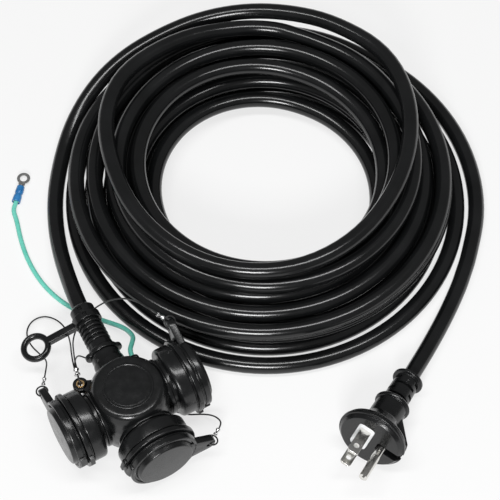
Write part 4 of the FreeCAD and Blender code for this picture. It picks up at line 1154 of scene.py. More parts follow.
@dataclass
class StrainRelief:
    """The ribbed sleeve where the cord leaves the tap."""

    root: float = 22.0
    root_radius: float = 7.0
    arm_end: float = TapBody.arm_end
    flange: float = 2.7
    flange_radius: float = 8.6
    neck: float = 6.6
    ribs_start: float = 41.0
    rib_width: float = 1.6
    rib_gap: float = 1.2
    rib_radius: float = 7.2
    rib_depth: float = 1.2
    rib_overlap: float = 0.4
    ribs: int = 5
    seat_end: float = 59.6
    seat_radius: float = 6.4
    collar_radius: float = 7.0
    end: float = 66.0
    bore: float = 4.87
    lobe_reach: float = 6.9
    lobe_radius: float = 3.9
    notch: float = 2.4
    notch_middle: Flat = (62.3, 1.9)
    notch_depth: float = 1.7
    cut_over: float = 1.5

    def build(self) -> None:
        """Makes the sleeve with its two lobes, the collar's square hole and the ribs."""
        arm = PLACES.cord_arm
        pitch = self.rib_width + self.rib_gap
        flange_end = self.arm_end + self.flange
        ribs_end = self.ribs_start + pitch * self.ribs - self.rib_gap
        core = self.rib_radius - self.rib_depth
        corners = [
            # the flange at the arm
            (self.root, self.bore, 0.0),
            (self.root, self.root_radius, 0.0),
            (self.arm_end, self.root_radius, 0.0),
            (self.arm_end, self.flange_radius, 0.6),
            (flange_end, self.flange_radius, 0.9),
            (flange_end + 0.4, self.neck + 0.9, 0.9),
            # the core under the ribs
            (self.ribs_start - 1.2, self.rib_radius - 0.2, 1.0),
            (self.ribs_start - 0.3, self.rib_radius - 0.3, 0.3),
            (self.ribs_start - 0.2, core, 0.1),
            (ribs_end, core, 0.1),
            # the hanging ring's seat and the collar
            (ribs_end + 0.2, self.seat_radius, 0.2),
            (self.seat_end, self.seat_radius, 0.2),
            (self.seat_end, self.collar_radius, 0.5),
            (self.end - 1.6, self.collar_radius, 0.8),
            (self.end, self.collar_radius - 1.4, 0.5),
            (self.end, self.bore, 0.2),
            (self.end - 2.0, self.bore, 0.0),
        ]
        sleeve = Solid().lathe(corners, arm, joined=True)
        for reach in (self.lobe_reach, -self.lobe_reach):
            lobe = arm @ shift(0.0, reach)
            sleeve.rod((self.arm_end, flange_end), self.lobe_radius, lobe, Facets.SMALL, (0.8, 0.9))
        thing = sleeve.piece("relief_sleeve")
        deep, out = self.collar_radius - self.notch_depth, self.collar_radius + self.cut_over
        carved(thing, square_hole(self.notch_middle, self.notch, deep, out))
        row = RingRow(self.ribs, pitch, self.ribs_start + self.rib_width / 2, self.rib_radius, self.rib_width,
                      self.rib_depth + self.rib_overlap)
        rings = row.build("relief_ribs", "black_rubber", arm)
        whole = smooth(merged([thing, rings], "relief_moulding"), MOULDED_CREASE)
        placed(whole, "black_rubber", "tap", "strain_relief")


@dataclass
class HangingRing:
    """The ring on a strap, and the band that holds it on the strain relief."""

    band_start: float = 55.0
    band_width: float = 4.6
    band_bore: float = 6.5
    band_wall: float = 1.7
    notch: float = 2.4
    notch_middle: Flat = (57.3, 0.9)
    notch_floor: float = 0.3
    cut_over: float = 1.0
    strap_width: float = 4.4
    strap_thickness: float = 3.6
    droop: float = 11.0
    distance: float = 32.0
    ring_radius: float = 8.7
    ring_bore: float = 5.2
    ring_thickness: float = 4.4
    ring_bend_steps: int = 20

    def build(self) -> None:
        """Makes the band with its square hole, the strap and the ring."""
        start, end = self.band_start, self.band_start + self.band_width
        bore, outer = self.band_bore, self.band_bore + self.band_wall
        band = [(start, bore, 0.0), (start, outer, 0.5), (end, outer, 0.5), (end, bore, 0.0)]
        solid = Solid().lathe(band, PLACES.cord_arm, Facets.BAND, joined=True)
        droop = PLACES.cord_arm @ spin(-self.droop, "X")
        middle = self.band_start + self.band_width / 2
        half, reach = self.ring_thickness / 2, (self.ring_radius - self.ring_bore) / 2
        bend = [math.pi * 2 * k / self.ring_bend_steps for k in range(self.ring_bend_steps)]
        section = [(half * math.sin(a), self.ring_bore + reach * (1 + math.cos(a)), 0.0) for a in bend]
        solid.lathe(section, upright(droop @ shift(middle, self.distance)), Facets.RING, joined=True)
        near, far = (bore + outer) / 2, self.distance - (self.ring_bore + self.ring_radius) / 2
        w, t = self.strap_width / 2, self.strap_thickness / 2
        strap = rounded([(0.0, -t, 0.0), (w, -t, 0.7), (w, t, 0.7), (-w, t, 0.7), (-w, -t, 0.7)], 3)
        strap = [(middle + x, z) for x, z in strap]
        solid.stack([(near, strap), (far, strap)], droop, "Y")
        thing = solid.piece("hanging_ring_moulding")
        deep, out = bore + self.notch_floor, outer + self.cut_over
        carved(thing, square_hole(self.notch_middle, self.notch, deep, out))
        placed(smooth(thing, MOULDED_CREASE), "black_rubber", "tap", "hanging_ring")


# The plug


@dataclass
class Plug:
    """The moulded plug with its pale insert, its flat blades and the seat of its folding earth pin."""

    face: float = 17.0
    flange: float = 19.5
    tube: float = 9.2
    flare: float = -14.0
    ring_back: float = -30.0
    ring_radius: float = 10.3
    ring_width: float = 2.8
    grip_radius: float = 7.0
    grip_rows: int = 4
    grip_slot_half: float = 0.95
    grip_slot_depth: float = 1.3
    grip_slot_arc: float = 104.0
    grip_slot_steps: int = 12
    cut_over: float = 1.5
    end: float = -50.0
    end_ring: float = 8.8
    end_ring_width: float = 2.4
    crease: float = 36.0
    blade_shift: float = 4.7
    blade_width: float = 6.3
    blade_thickness: float = 1.5
    blade_length: float = 17.0
    blade_back: float = -2.0
    blade_spacing: float = 12.7
    blade_hole: float = 1.55
    blade_hole_back: float = 5.0
    blade_edge: float = 0.3
    blade_grain: float = 0.8
    insert_width: float = 9.6
    insert_height: float = 19.6
    insert_round: float = 2.4
    insert_edge: float = 0.5
    insert_depth: float = 2.8
    insert_rise: float = 0.15
    insert_gap: float = 0.1
    pocket_depth: float = 3.0
    hinge_y: float = 7.2
    knuckle: float = 2.6
    knuckle_gap: float = 0.3
    slot_half: float = 2.7
    slot_depth: float = 6.6
    overrun: float = 1.0
    wedge_back: float = -22.0
    wedge_corner: float = -9.4
    wedge_front: float = -3.4
    wedge_foot: float = 4.0
    wedge_reach: float = 19.6
    wedge_half: float = 4.0
    wedge_edge: float = 0.6
    wedge_middle: Flat = (-9.0, 11.0)

    def shell(self) -> Solid:
        """Shapes the round moulding, from its end ring to its face.

        Returns:
            The moulding.
        """
        grip_back = self.end + self.end_ring_width
        ring_front = self.ring_back + self.ring_width
        corners = [
            # the ring at the end and the grip
            (self.end, 0.0, 0.0),
            (self.end, self.end_ring - 0.6, 0.3),
            (self.end + 0.5, self.end_ring, 0.4),
            (grip_back - 0.3, self.end_ring, 0.6),
            (grip_back, self.grip_radius, 0.3),
            (self.ring_back, self.grip_radius + 0.3, 0.4),
            # the middle ring, with a line round it
            (self.ring_back + 0.2, self.ring_radius - 0.5, 0.5),
            (self.ring_back + 1.2, self.ring_radius, 0.3),
            (self.ring_back + 1.4, self.ring_radius - 0.5, 0.1),
            (self.ring_back + 1.6, self.ring_radius, 0.3),
            (ring_front - 0.2, self.ring_radius - 0.5, 0.5),
            (ring_front, self.tube - 0.1, 0.3),
            # the flare, the back rim, the flange and the face
            (self.flare - 2.0, self.tube + 0.2, 4.0),
            (-8.6, 13.8, 3.0),
            (-6.8, 16.9, 0.5),
            (-6.4, 18.2, 0.4),
            (-5.3, 18.7, 0.3),
            (-5.0, 18.0, 0.15),
            (-4.6, 18.0, 0.15),
            (-4.3, 19.4, 0.4),
            (-2.5, self.flange, 0.5),
            (-2.2, 18.5, 0.15),
            (-1.8, 18.4, 0.15),
            (-1.5, 18.4, 0.3),
            (0.0, self.face, 0.7),
            (0.0, 0.0, 0.0),
        ]
        return Solid().lathe(corners, PLACES.plug, Facets.PLUG)

    def grip_slots(self) -> Solid:
        """Shapes the slots round the grip, in rows that lie crosswise in turn.

        Returns:
            Their cutter.
        """
        grip_back = self.end + self.end_ring_width
        step = (self.ring_back - grip_back) / self.grip_rows
        low, high = self.grip_radius - self.grip_slot_depth, self.grip_radius + self.cut_over
        cuts = Solid()
        for row in range(self.grip_rows):
            middle = grip_back + step * (row + 0.5)
            back, front = middle - self.grip_slot_half, middle + self.grip_slot_half
            section = ((back, low), (front, low), (front, high), (back, high))
            for half_turn in (0.0, 180.0):
                start = half_turn + (90.0 if row % 2 else 0.0) - self.grip_slot_arc / 2
                rings = []
                for k in range(self.grip_slot_steps + 1):
                    angle = math.radians(start + self.grip_slot_arc * k / self.grip_slot_steps)
                    a, b = math.cos(angle), math.sin(angle)
                    rings.append([PLACES.plug @ Vector((x, r * a, r * b)) for x, r in section])
                cuts.skin(rings)
        return cuts

    def wedge(self) -> Solid:
        """Shapes the gusset that holds the earth pin's hinge.

        Returns:
            The gusset.
        """
        foot, reach = self.wedge_foot, self.wedge_reach
        outline = rounded(
            [
                (-12.0, foot, 0.0),
                (self.wedge_back, 6.0, 0.0),
                (self.wedge_back, self.tube - 0.6, 0.8),
                (self.wedge_corner, reach - 1.3, 1.6),
                (self.wedge_front - 2.2, reach - 0.6, 1.2),
                (self.wedge_front, reach - 2.2, 1.0),
                (self.wedge_front, foot, 0.0),
            ]
        )
        half, edge, middle = self.wedge_half, self.wedge_edge, Vector(self.wedge_middle)
        low = [(-half, edge), (0.2 - half, edge * 0.4), (edge - half, 0.0)]
        layers = []
        for level, inset in low + [(-level, inset) for level, inset in reversed(low)]:
            points = [Vector(p) - (Vector(p) - middle).normalized() * inset for p in outline]
            layers.append((level, [tuple(p) for p in points]))
        return Solid().stack(layers, PLACES.plug)

    def seats(self) -> Solid:
        """Shapes the earth pin's slot and the insert's pocket.

        Returns:
            Their cutter.
        """
        slot_y, top = self.hinge_y - self.knuckle - self.knuckle_gap, self.wedge_reach + self.overrun
        back, front = -self.slot_depth, self.overrun
        slot = [(back, slot_y), (front, slot_y), (front, top), (back, top)]
        pocket = self.insert_outline(self.insert_gap)
        cutter = Solid().stack([(-self.slot_half, slot), (self.slot_half, slot)], PLACES.plug)
        return cutter.stack([(-self.pocket_depth, pocket), (front, pocket)], PLACES.plug, "X")

    def body(self) -> bpy.types.Object:
        """Makes the moulding, with its gusset, its slots and its pocket.

        Returns:
            The piece.
        """
        round_part = carved(self.shell().piece("plug_shell"), self.grip_slots())
        whole = merged([round_part, self.wedge().piece("plug_wedge")], "plug_moulding")
        return smooth(carved(whole, self.seats()), self.crease)

    def insert_outline(self, more: float = 0.0) -> list[Flat]:
        """Draws the pale insert's rounded outline.

        Args:
            more: A clearance that it grows by.

        Returns:
            The outline's points.
        """
        low = -self.blade_shift - self.insert_width / 2 - more
        high = -self.blade_shift + self.insert_width / 2 + more
        half, r = self.insert_height / 2 + more, self.insert_round
        return rounded([(low, 0.0, 0.0), (low, half, r), (high, half, r), (high, -half, r), (low, -half, r),
                        (low, -0.5, 0.0)])

    def blade(self, hand: float) -> Solid:
        """Shapes one flat blade with its hole and its tapered tip.

        Args:
            hand: The side that it stands on, 1 or -1.

        Returns:
            The blade.
        """
        half, thick = self.blade_width / 2, self.blade_thickness / 2
        back, tip = self.blade_back, self.blade_length
        outline = rounded(
            [(back, 0.0, 0.0), (back, -half, 0.0), (tip - 1.2, -half, 0.4), (tip, -half + 1.1, 0.5),
             (tip, half - 1.1, 0.5), (tip - 1.2, half, 0.4), (back, half, 0.0), (back, 0.2, 0.0)]
        )
        dense: list[Flat] = []
        for (ax, ay), (bx, by) in zip(outline, outline[1:] + outline[:1]):
            pieces = max(1, int(math.hypot(bx - ax, by - ay) / self.blade_grain))
            dense += [(ax + (bx - ax) * k / pieces, ay + (by - ay) * k / pieces) for k in range(pieces)]
        on_edge = Matrix(((0, 1, 0, 0), (0, 0, 1, 0), (1, 0, 0, 0), (0, 0, 0, 1)))
        place = PLACES.plug @ shift(0.0, -self.blade_shift, self.blade_spacing / 2 * hand) @ on_edge
        hole = (tip - self.blade_hole_back, 0.0, self.blade_hole)
        return Solid().plate(dense, (-thick, thick), place, self.blade_edge, hole)

    def build(self) -> list[bpy.types.Object]:
        """Makes the plug's pieces.

        Returns:
            The pieces, which are on the cord's far end.
        """
        body = placed(self.body(), "black_rubber", "tap", "plug_body")
        span = (-self.insert_depth, self.insert_rise)
        insert = Solid().plate(self.insert_outline(), span, PLACES.plug, self.insert_edge)
        insert = placed(smooth(insert.piece("plug_insert")), "pale_insert", "tap", "plug_face_insert")
        blades = []
        for name, hand in (("line", 1.0), ("neutral", -1.0)):
            blade = smooth(self.blade(hand).piece(name + "_blade_plate"), SMALL_CREASE)
            blades.append(placed(blade, "nickel", "tap", name + "_blade"))
        return [body, insert, *blades]


# Cords and wires


def spline_through(name: str, points: Sequence[Vector], steps: int) -> bpy.types.Object:
    """A smooth open curve with the points of a route as its control points.

    Args:
        name: The curve's name.
        points: The route, in millimetres.
        steps: The curve's stretches between two of them.

    Returns:
        The curve, without thickness.
    """
    curve = bpy.data.curves.new(name, "CURVE")
    curve.dimensions = "3D"
    curve.resolution_u = steps
    spline = curve.splines.new("NURBS")
    spline.points.add(len(points) - 1)
    for slot, point in zip(spline.points, points):
        slot.co = (*(point * MM), 1.0)
    spline.order_u = 3
    spline.use_endpoint_u = True
    return in_scene(name, curve)


def round_cord(
    name: str,
    points: Sequence[Vector],
    radius: float,
    steps: int,
    bevel: int,
) -> bpy.types.Object:
    """A smooth open curve with a round section and closed ends.

    Args:
        name: The curve's name.
        points: Its control points, in millimetres.
        radius: Its radius, in millimetres.
        steps: The curve's stretches between two points.
        bevel: The steps in a quarter of its section.

    Returns:
        The curve.
    """
    cord = spline_through(name, points, steps)
    cord.data.bevel_depth = radius * MM
    cord.data.bevel_resolution = bevel
    cord.data.use_fill_caps = True
    return cord


def line_through(points: Sequence[Vector], steps: int) -> list[Vector]:
    """Finds the points along a smooth open curve.

    Args:
        points: The curve's control points, in millimetres.
        steps: The curve's stretches between two of them.

    Returns:
        The points, in millimetres.
    """
    guide = spline_through("guide", points, steps)
    mesh = plain_mesh(guide)
    line = [v.co / MM for v in mesh.vertices]
    bpy.data.meshes.remove(mesh)
    bpy.data.objects.remove(guide)
    return line


def length_of(line: Sequence[Vector]) -> float:
    """The length of a line through points."""
    return sum((b - a).length for a, b in zip(line, line[1:]))


@dataclass
class MainCord:
    """The three-core cord from the tap, through its coil, to the plug.

    The coil is a spiral in layers that run in and out in turn, from the plug's side below to the tap's side
    on top. The loose loop's rows are an angle, a distance from the coil's middle and a height.
    """

    radius: float = 4.75
    length: float = 9.48
    coil_x: float = 74.5
    coil_y: float = 149.5
    coil_outer: float = 121.5
    coil_pitch: float = 11.2
    coil_step: float = 9.95
    coil_start: float = -20.0
    layer_turns: tuple[float, ...] = (5.25, 4.25, 3.75, 2.0)
    drift_start: Flat = (2.5, -6.0)
    drift_end: Flat = (-3.0, 2.0)
    climb_turns: float = 0.5
    points_per_turn: int = 24
    hidden_start: float = 46.0
    relief_mouth: float = StrainRelief.end
    hidden_end: float = -30.0
    plug_end: float = Plug.end
    straight_out: float = 8.0
    run_out: float = 14.0
    run_in: float = 12.0
    spline_steps: int = 5
    bevel_steps: int = 8
    loose_loop: tuple[Corner, ...] = (
        (100.0, 97.2, 36.0), (121.0, 98.5, 41.5), (145.0, 101.5, 44.7), (163.0, 98.0, 44.7),
        (181.0, 91.0, 44.7), (206.0, 86.5, 44.7), (231.0, 84.5, 44.7), (256.0, 83.5, 44.7),
        (282.0, 81.5, 44.7), (309.0, 78.5, 44.7), (337.0, 78.0, 44.7), (363.0, 83.5, 44.7),
        (386.0, 92.5, 44.7), (406.0, 100.5, 44.7),
    )
    tap_lead: tuple[Corner, ...] = (
        (115.3, 242.4, 44.5), (90.3, 251.8, 42.2), (63.9, 256.4, 38.5), (36.6, 253.6, 34.6),
        (12.5, 244.5, 30.5), (-10.3, 231.3, 26.0), (-27.8, 214.8, 19.5), (-41.1, 193.5, 10.8),
        (-47.7, 168.0, 5.4), (-50.0, 139.0, 4.75), (-45.7, 107.5, 5.4),
    )
    plug_lead: tuple[Corner, ...] = (
        (165.2, 42.6, 6.0), (175.3, 62.0, 4.75),
    )

    def coil_point(self, turns: float, outside: bool = True) -> Vector:
        """The cord's middle in the coil.

        Args:
            turns: The number of turns from the plug's side.
            outside: Whether it is a control point, a little outside the turn that the spline draws.

        Returns:
            The point there.
        """
        radius, left, way, height, ended = self.coil_outer, turns, -1.0, self.radius, 0.0
        for layer, layer_turns in enumerate(self.layer_turns):
            used = min(left, layer_turns)
            radius += way * self.coil_pitch * used
            left -= used
            way = -way
            ended += layer_turns
            if layer < len(self.layer_turns) - 1:
                climb = min(1.0, max(0.0, (turns - ended + self.climb_turns / 2) / self.climb_turns))
                height += self.coil_step * climb * climb * (3 - 2 * climb)
        share = turns / sum(self.layer_turns)
        drift = Vector(self.drift_start).lerp(Vector(self.drift_end), share)
        middle = Vector((self.coil_x, self.coil_y)) + drift
        angle = math.radians(self.coil_start) + 2 * math.pi * turns
        if outside:
            radius *= 4 / (3 + math.cos(2 * math.pi / self.points_per_turn))
        return Vector((middle.x + radius * math.cos(angle), middle.y + radius * math.sin(angle), height))

    def wound(self) -> list[Vector]:
        """Winds the coil from the tap's side to the plug's, with a straight run before it and after it.

        Returns:
            The control points.
        """
        all_turns, near_end = sum(self.layer_turns), 1e-3
        count = round(all_turns * self.points_per_turn)
        coil = [self.coil_point(i / self.points_per_turn) for i in range(count + 1)]
        coil[0], coil[-1] = self.coil_point(0.0, False), self.coil_point(all_turns, False)
        entry_way = (self.coil_point(near_end, False) - coil[0]).normalized()
        exit_way = (coil[-1] - self.coil_point(all_turns - near_end, False)).normalized()
        near = self.radius * 2
        before = [coil[-1] + exit_way * (near + self.run_out), coil[-1] + exit_way * near]
        after = [coil[0] - entry_way * near, coil[0] - entry_way * (near + self.run_in)]
        return before + coil[::-1] + after

    def route(self) -> list[Vector]:
        """Leads the cord from inside the strain relief to inside the plug.

        Returns:
            The control points.
        """
        arm, plug, out = PLACES.cord_arm, PLACES.plug, self.straight_out
        loose = []
        for degrees, radius, height in self.loose_loop:
            x, y = (radius * way(math.radians(degrees)) for way in (math.cos, math.sin))
            loose.append((self.coil_x + x, self.coil_y + y, height))
        start = (self.hidden_start, self.relief_mouth - out, self.relief_mouth + out)
        end = (self.plug_end - out, self.plug_end + out, self.hidden_end)
        points = [arm @ Vector((x, 0, 0)) for x in start]
        for stretch in (reversed(self.tap_lead), reversed(loose), self.wound(), reversed(self.plug_lead)):
            points += PLACES.from_hub(stretch)
        return points + [plug @ Vector((x, 0, 0)) for x in end]

    def build(self, plug_pieces: Sequence[bpy.types.Object]) -> bpy.types.Object:
        """Makes the cord as one curve.

        Args:
            plug_pieces: What is on its far end; not used.

        Returns:
            The cord.
        """
        cord = round_cord("cord", self.route(), self.radius, self.spline_steps, self.bevel_steps)
        placed(cord, "cord_sheath", "tap", "cord_tap_lead", "cord_coil", "cord_plug_lead")
        mouth = PLACES.cord_arm @ Vector((self.relief_mouth, 0, 0))
        list(plug_pieces)
        return cord


@dataclass(frozen=True)
class Ferrule:
    """A ferrule crimped on the thin wires, with a waist where it is pinched."""

    length: float
    radius: float
    waist_share: float = 0.62
    waist_half: float = 0.5
    shoulder_share: float = 0.2

    def build(self, name: str, place: Matrix, start: float) -> bpy.types.Object:
        """Makes the ferrule.

        Args:
            name: Its name.
            place: Its frame, with X along it.
            start: Where it starts along X.

        Returns:
            The ferrule.
        """
        end, shoulder = start + self.length, self.length * self.shoulder_share
        middle, waist = (start + end) / 2, self.radius * self.waist_share
        corners = [
            (start, 0.0, 0.0),
            (start, self.radius, 0.25),
            (start + shoulder, self.radius, 0.9),
            (middle - self.waist_half, waist, 0.6),
            (middle + self.waist_half, waist, 0.6),
            (end - shoulder, self.radius, 0.9),
            (end, self.radius, 0.25),
            (end, 0.0, 0.0),
        ]
        return smooth(Solid().lathe(corners, place, Facets.FERRULE).piece(name), SMALL_CREASE)


@dataclass
class Tethers:
    """The thin wires from the caps' tabs to the eyelet, and their ferrules."""

    tab_middle: float = Cap.outer - Cap.tab_thickness / 2
    tab_reach: float = Cap.tab_reach
    tab_loop_radius: float = 3.1
    tab_lean: float = 35.0
    tab_ferrule: Ferrule = Ferrule(4.5, 1.3)
    eye_loop_radius: float = 2.9
    eye_loop_turn: float = 107.0
    eye_ferrule: Ferrule = Ferrule(4.0, 1.75)
    wire_radius: float = 0.45
    wire_crease: float = 60.0
    stand_off: float = 0.25
    step_out: float = 4.0
    spline_steps: int = 8
    gather: float = 1.6
    gather_turns: dict[Side, float] = field(
        default_factory=lambda: {Side.LEFT: 30.0, Side.FRONT: 270.0, Side.RIGHT: 150.0}
    )
    routes: dict[Side, tuple[Corner, ...]] = field(
        default_factory=lambda: {
            Side.LEFT: (
                (-47.5, 31.5, 10.5), (-52.1, 38.0, 5.5), (-58.6, 45.5, 3.2), (-61.6, 54.0, 2.4),
                (-59.1, 61.5, 2.0), (-52.6, 65.0, 2.0), (-45.6, 63.0, 2.4), (-39.9, 57.0, 4.5),
                (-36.7, 48.5, 8.5), (-34.7, 40.0, 14.0), (-33.6, 32.8, 20.2),
            ),
            Side.FRONT: (
                (48.4, -3.4, 8.0), (44.6, 0.6, 5.0), (38.4, 2.6, 2.4), (29.4, 2.7, 1.0), (17.4, 7.6, 0.7),
                (7.4, 15.1, 0.7), (-2.7, 23.6, 0.7), (-13.1, 30.0, 1.5), (-21.6, 33.5, 5.0),
                (-28.1, 34.0, 11.0), (-30.6, 31.5, 16.6),
            ),
            Side.RIGHT: (
                (7.4, 46.8, 46.2), (1.2, 53.4, 40.0), (-6.6, 60.5, 30.0), (-15.1, 65.0, 19.0),
                (-23.1, 65.5, 9.5), (-29.6, 61.0, 5.0), (-33.4, 53.5, 5.0), (-34.1, 44.5, 9.0),
                (-32.6, 34.5, 17.2),
            ),
        }
    )

    def tab_frame(self, side: Side) -> Matrix:
        """The frame of a tab's ferrule: X runs along it, away from the loop in the tab."""
        in_tab = shift(self.tab_middle, self.tab_reach + self.tab_loop_radius)
        return PLACES.cap(side) @ in_tab @ spin(90.0 + self.tab_lean)

    @property
    def tab_ferrule_start(self) -> float:
        """Where a tab's ferrule starts along its frame."""
        return self.tab_loop_radius + self.wire_radius + self.stand_off

    @property
    def eye_frame(self) -> Matrix:
        """The frame at the eyelet's middle, with X towards the shared ferrule."""
        return Matrix.Translation(PLACES.ear.translation) @ spin(self.eye_loop_turn)

    @property
    def eye_ferrule_start(self) -> float:
        """Where the shared ferrule starts along that frame."""
        return self.eye_loop_radius * 2 + self.wire_radius + self.stand_off

    def controls(self, side: Side) -> list[Vector]:
        """Leads one wire from its tab's ferrule to the shared one.

        Args:
            side: Its cap's outlet.

        Returns:
            The control points.
        """
        tab = self.tab_frame(side)
        leaves = tab @ Vector((self.tab_ferrule_start + self.tab_ferrule.length, 0, 0))
        out = tab.to_3x3() @ Vector((self.step_out, 0, 0))
        turn, offset = math.radians(self.gather_turns[side]), self.wire_radius * self.gather
        across = (offset * math.cos(turn), offset * math.sin(turn))
        far = self.eye_ferrule_start + self.eye_ferrule.length
        end = [self.eye_frame @ Vector((x, *across)) for x in (far + self.step_out, far)]
        return [leaves, leaves + out] + PLACES.from_hub(self.routes[side]) + end

    def build_wire(self, side: Side) -> None:
        """Makes one wire.

        Args:
            side: Its cap's outlet.
        """
        points = self.controls(side)
        start, end = tuple(points[0] * MM), tuple(points[-1] * MM)
        line = line_through(points, self.spline_steps)
        wire = Solid().tube(line, self.wire_radius).piece(side.label + "_tether_wire")
        FINISHES.dress(smooth(wire, self.wire_crease), "wire")
        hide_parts(side.label + "_tether")
        length_of(line) * MM
        tuple(start)
        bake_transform(wire)
        tuple(start)
        tuple(end)
        LOG.info("%s stands for %s_tether", wire.name, side.label)

    def build(self) -> None:
        """Makes the ferrules and the three wires."""
        for side in Side:
            name, place = side.label + "_ferrule", self.tab_frame(side)
            ferrule = self.tab_ferrule.build(name, place, self.tab_ferrule_start)
            placed(ferrule, "crimp", side.body, side.label + "_tether_crimp")
            self.build_wire(side)
        shared = self.eye_ferrule.build("shared_ferrule", self.eye_frame, self.eye_ferrule_start)
        placed(shared, "crimp", "tap", "eyelet_crimp")


@dataclass
class EarthLead:
    """The green earth wire, with its blue sleeve and its ring terminal."""

    radius: float = 1.4
    boss_end: float = TapBody.boss_end
    boss_offset: float = TapBody.boss_offset
    hidden: float = 17.0
    step_out: float = 4.0
    terminal: Corner = (-72.7, 141.5, 2.6)
    heading: float = 78.0
    run_in: Corner = (-6.0, -1.0, 9.0)
    spline_steps: int = 8
    bevel_steps: int = 4
    curve_share: float = 0.975
    sleeve_length: float = 11.0
    sleeve_radius: float = 2.6
    sleeve_taper: float = 0.25
    sleeve_wall: float = 0.5
    pinch: Flat = (0.1, 0.5)
    pinch_shares: Corner = (0.36, 0.5, 0.64)
    route: tuple[Corner, ...] = (
        (-0.2, 38.5, 18.6), (0.2, 45.5, 13.5), (-5.6, 54.0, 8.0), (-16.1, 60.5, 3.2), (-27.1, 65.5, 1.4),
        (-37.6, 71.0, 1.4), (-47.1, 78.5, 1.4), (-56.1, 89.0, 1.4), (-63.6, 102.5, 1.4), (-68.7, 117.0, 1.4),
        (-71.4, 129.0, 2.0),
    )

    @property
    def terminal_frame(self) -> Matrix:
        """The terminal's frame: X runs from the wire to the eye."""
        return Matrix.Translation(PLACES.from_hub([self.terminal])[0]) @ spin(self.heading)

    def build_sleeve(self) -> bpy.types.Object:
        """Makes the blue sleeve, pinched at its middle.

        Returns:
            The sleeve.
        """
        length, back, wall = self.sleeve_length, self.sleeve_radius, self.sleeve_wall
        front = back - self.sleeve_taper
        before, middle, after = (length * share for share in self.pinch_shares)
        shallow, deep = (back - drop for drop in self.pinch)
        corners = [
            (0.0, back - wall, 0.0),
            (0.0, back, 0.3),
            (before, shallow, 0.6),
            (middle, deep, 0.6),
            (after, shallow, 0.6),
            (length, front, 0.3),
            (length, front - wall, 0.2),
            (length - 1.0, front - wall - 0.1, 0.0),
            (0.3, back - wall, 0.0),
        ]
        ring = Solid().lathe(corners, self.terminal_frame, Facets.SMALL, joined=True)
        sleeve = smooth(ring.piece("blue_sleeve"), SMALL_CREASE)
        return placed(sleeve, "blue_sleeve", "tap", "terminal_sleeve")

    def build(self) -> None:
        def on_boss(x: float) -> Vector:
            """A point on the boss's axis."""
            return PLACES.cord_arm @ Vector((x, -self.boss_offset, 0.0))

        start = (self.hidden, self.boss_end - self.step_out, self.boss_end + self.step_out)
        points = [on_boss(x) for x in start] + PLACES.from_hub(self.route)
        points += [self.terminal_frame @ Vector((x, 0, 0)) for x in self.run_in]
        wire = round_cord("earth_lead", points, self.radius, self.spline_steps, self.bevel_steps)
        placed(wire, "green_wire", "tap", "earth_wire")
        tuple(on_boss(self.boss_end) * MM)
        length_of(points) * self.curve_share * MM
        self.build_sleeve()


# The studio


@dataclass(frozen=True)
class Softbox:
    """A soft lamp: its place from what it faces and its size, in metres, and its power, in watts."""

    name: str
    at: Corner
    size: Flat
    power: float

    def build(self, target: Vector) -> None:
        """Sets the lamp up.

        Args:
            target: What it faces, in metres.
        """
        data = bpy.data.lights.new(self.name, "AREA")
        data.shape = "RECTANGLE"
        data.size, data.size_y = self.size
        data.energy = self.power
        thing = in_scene(self.name, data)
        thing.location = target + Vector(self.at)
        thing.rotation_euler = (target - thing.location).to_track_quat("-Z", "Y").to_euler()


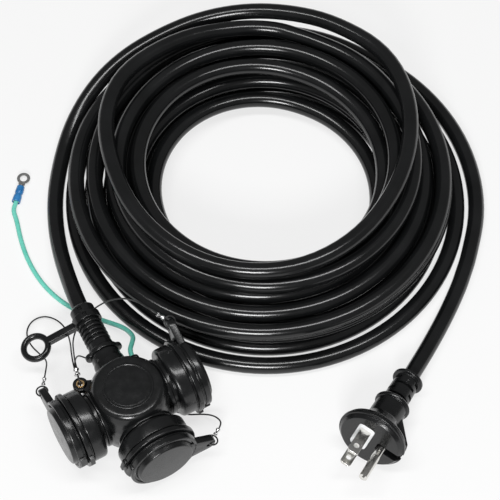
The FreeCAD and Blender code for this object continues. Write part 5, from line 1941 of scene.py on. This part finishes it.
@dataclass
class Studio:
    """The camera, the floor and the soft lamps."""

    look_x: float = 65.1
    look_y: float = 110.1
    distance: float = 1122.0
    elevation: float = 58.5
    view: float = 14.76
    near_and_far: Flat = (0.01, 20.0)
    floor_size: float = 6.0
    floor_tint: float = 0.86
    floor_glow: float = 0.7
    world: float = 0.17
    lamps: tuple[Softbox, ...] = (
        Softbox("top_softbox", (0.0, -0.12, 1.35), (1.3, 0.2), 10.5),
        Softbox("front_softbox", (-0.1, -1.12, 0.82), (0.4, 0.28), 11.0),
    )

    @property
    def target(self) -> Vector:
        """What the camera and the lamps face, in millimetres."""
        return PLACES.footprint + Vector((self.look_x, self.look_y, 0.0))

    def camera(self) -> None:
        """Sets the camera at the photograph's angle."""
        lift = math.radians(self.elevation)
        eye = self.target + Vector((0.0, -math.cos(lift), math.sin(lift))) * self.distance
        data = bpy.data.cameras.new("camera")
        data.sensor_fit = "HORIZONTAL"
        data.angle = math.radians(self.view)
        data.clip_start, data.clip_end = self.near_and_far
        thing = in_scene("camera", data)
        thing.location = eye * MM
        thing.rotation_euler = (self.target - eye).to_track_quat("-Z", "Y").to_euler()
        bpy.context.scene.camera = thing

    def floor_material(self) -> bpy.types.Material:
        """Makes the floor matt, and partly a glow of its own to the rays that see it as a backdrop.

        Returns:
            The material.
        """
        material = bpy.data.materials.new("pale_floor")
        material.use_nodes = True
        tree = material.node_tree
        tree.nodes.clear()
        tint = self.floor_tint
        matt = add_node(tree, "ShaderNodeBsdfDiffuse", Color=(tint, tint, tint, 1.0))
        lit = add_node(tree, "ShaderNodeEmission", Color=(1.0, 1.0, 1.0, 1.0))
        path = tree.nodes.new("ShaderNodeLightPath")
        seen = path.outputs["Is Camera Ray"]
        for ray in ("Is Glossy Ray", "Is Transmission Ray"):
            either = tree.nodes.new("ShaderNodeMath")
            either.operation = "MAXIMUM"
            tree.links.new(seen, either.inputs[0])
            tree.links.new(path.outputs[ray], either.inputs[1])
            seen = either.outputs["Value"]
        share = tree.nodes.new("ShaderNodeMath")
        share.operation = "MULTIPLY"
        share.inputs[1].default_value = self.floor_glow
        tree.links.new(seen, share.inputs[0])
        mix = add_node(tree, "ShaderNodeMixShader", Fac=share.outputs["Value"])
        tree.links.new(matt.outputs["BSDF"], mix.inputs[1])
        tree.links.new(lit.outputs["Emission"], mix.inputs[2])
        add_node(tree, "ShaderNodeOutputMaterial", Surface=mix.outputs["Shader"])
        return material

    def floor(self) -> None:
        """Lays the pale floor."""
        half = self.floor_size / 2
        corners = [(-half, -half, 0), (half, -half, 0), (half, half, 0), (-half, half, 0)]
        mesh = bpy.data.meshes.new("floor")
        mesh.from_pydata(corners, [], [(0, 1, 2, 3)])
        mesh.materials.append(self.floor_material())
        in_scene("floor", mesh)

    def build(self) -> None:
        """Sets up the studio."""
        scene = bpy.context.scene
        scene.view_settings.view_transform = "Standard"
        scene.world = bpy.data.worlds.new("studio")
        scene.world.use_nodes = True
        back = scene.world.node_tree.nodes["Background"]
        back.inputs["Color"].default_value = (1.0, 1.0, 1.0, 1.0)
        back.inputs["Strength"].default_value = self.world
        self.camera()
        self.floor()
        for lamp in self.lamps:
            lamp.build(self.target * MM)


def dress_nodes() -> None:
    """Gives every node of the frame the finish of its slot in the record."""
    for row in frame["record"]["subparts"]:
        FINISHES.dress_node(row["node"], row["material_slot"])


def main() -> None:
    """Builds every piece in order."""
    logging.basicConfig(level=logging.INFO, format="%(name)s: %(message)s")
    dress_nodes()
    Studio().build()
    pieces = Plug().build()
    names = ["earth_pin", "earth_pin_hinge", "earth_pin_stop", "earth_strip"]
    MainCord().build(pieces + [frame["nodes"][n] for n in names])
    TapBody().build()
    Eyelet().build()
    Medallion().build()
    for side in Side:
        Cap().build(side)
    StrainRelief().build()
    HangingRing().build()
    Tethers().build()
    EarthLead().build()


if __name__ == "__main__":
    main()
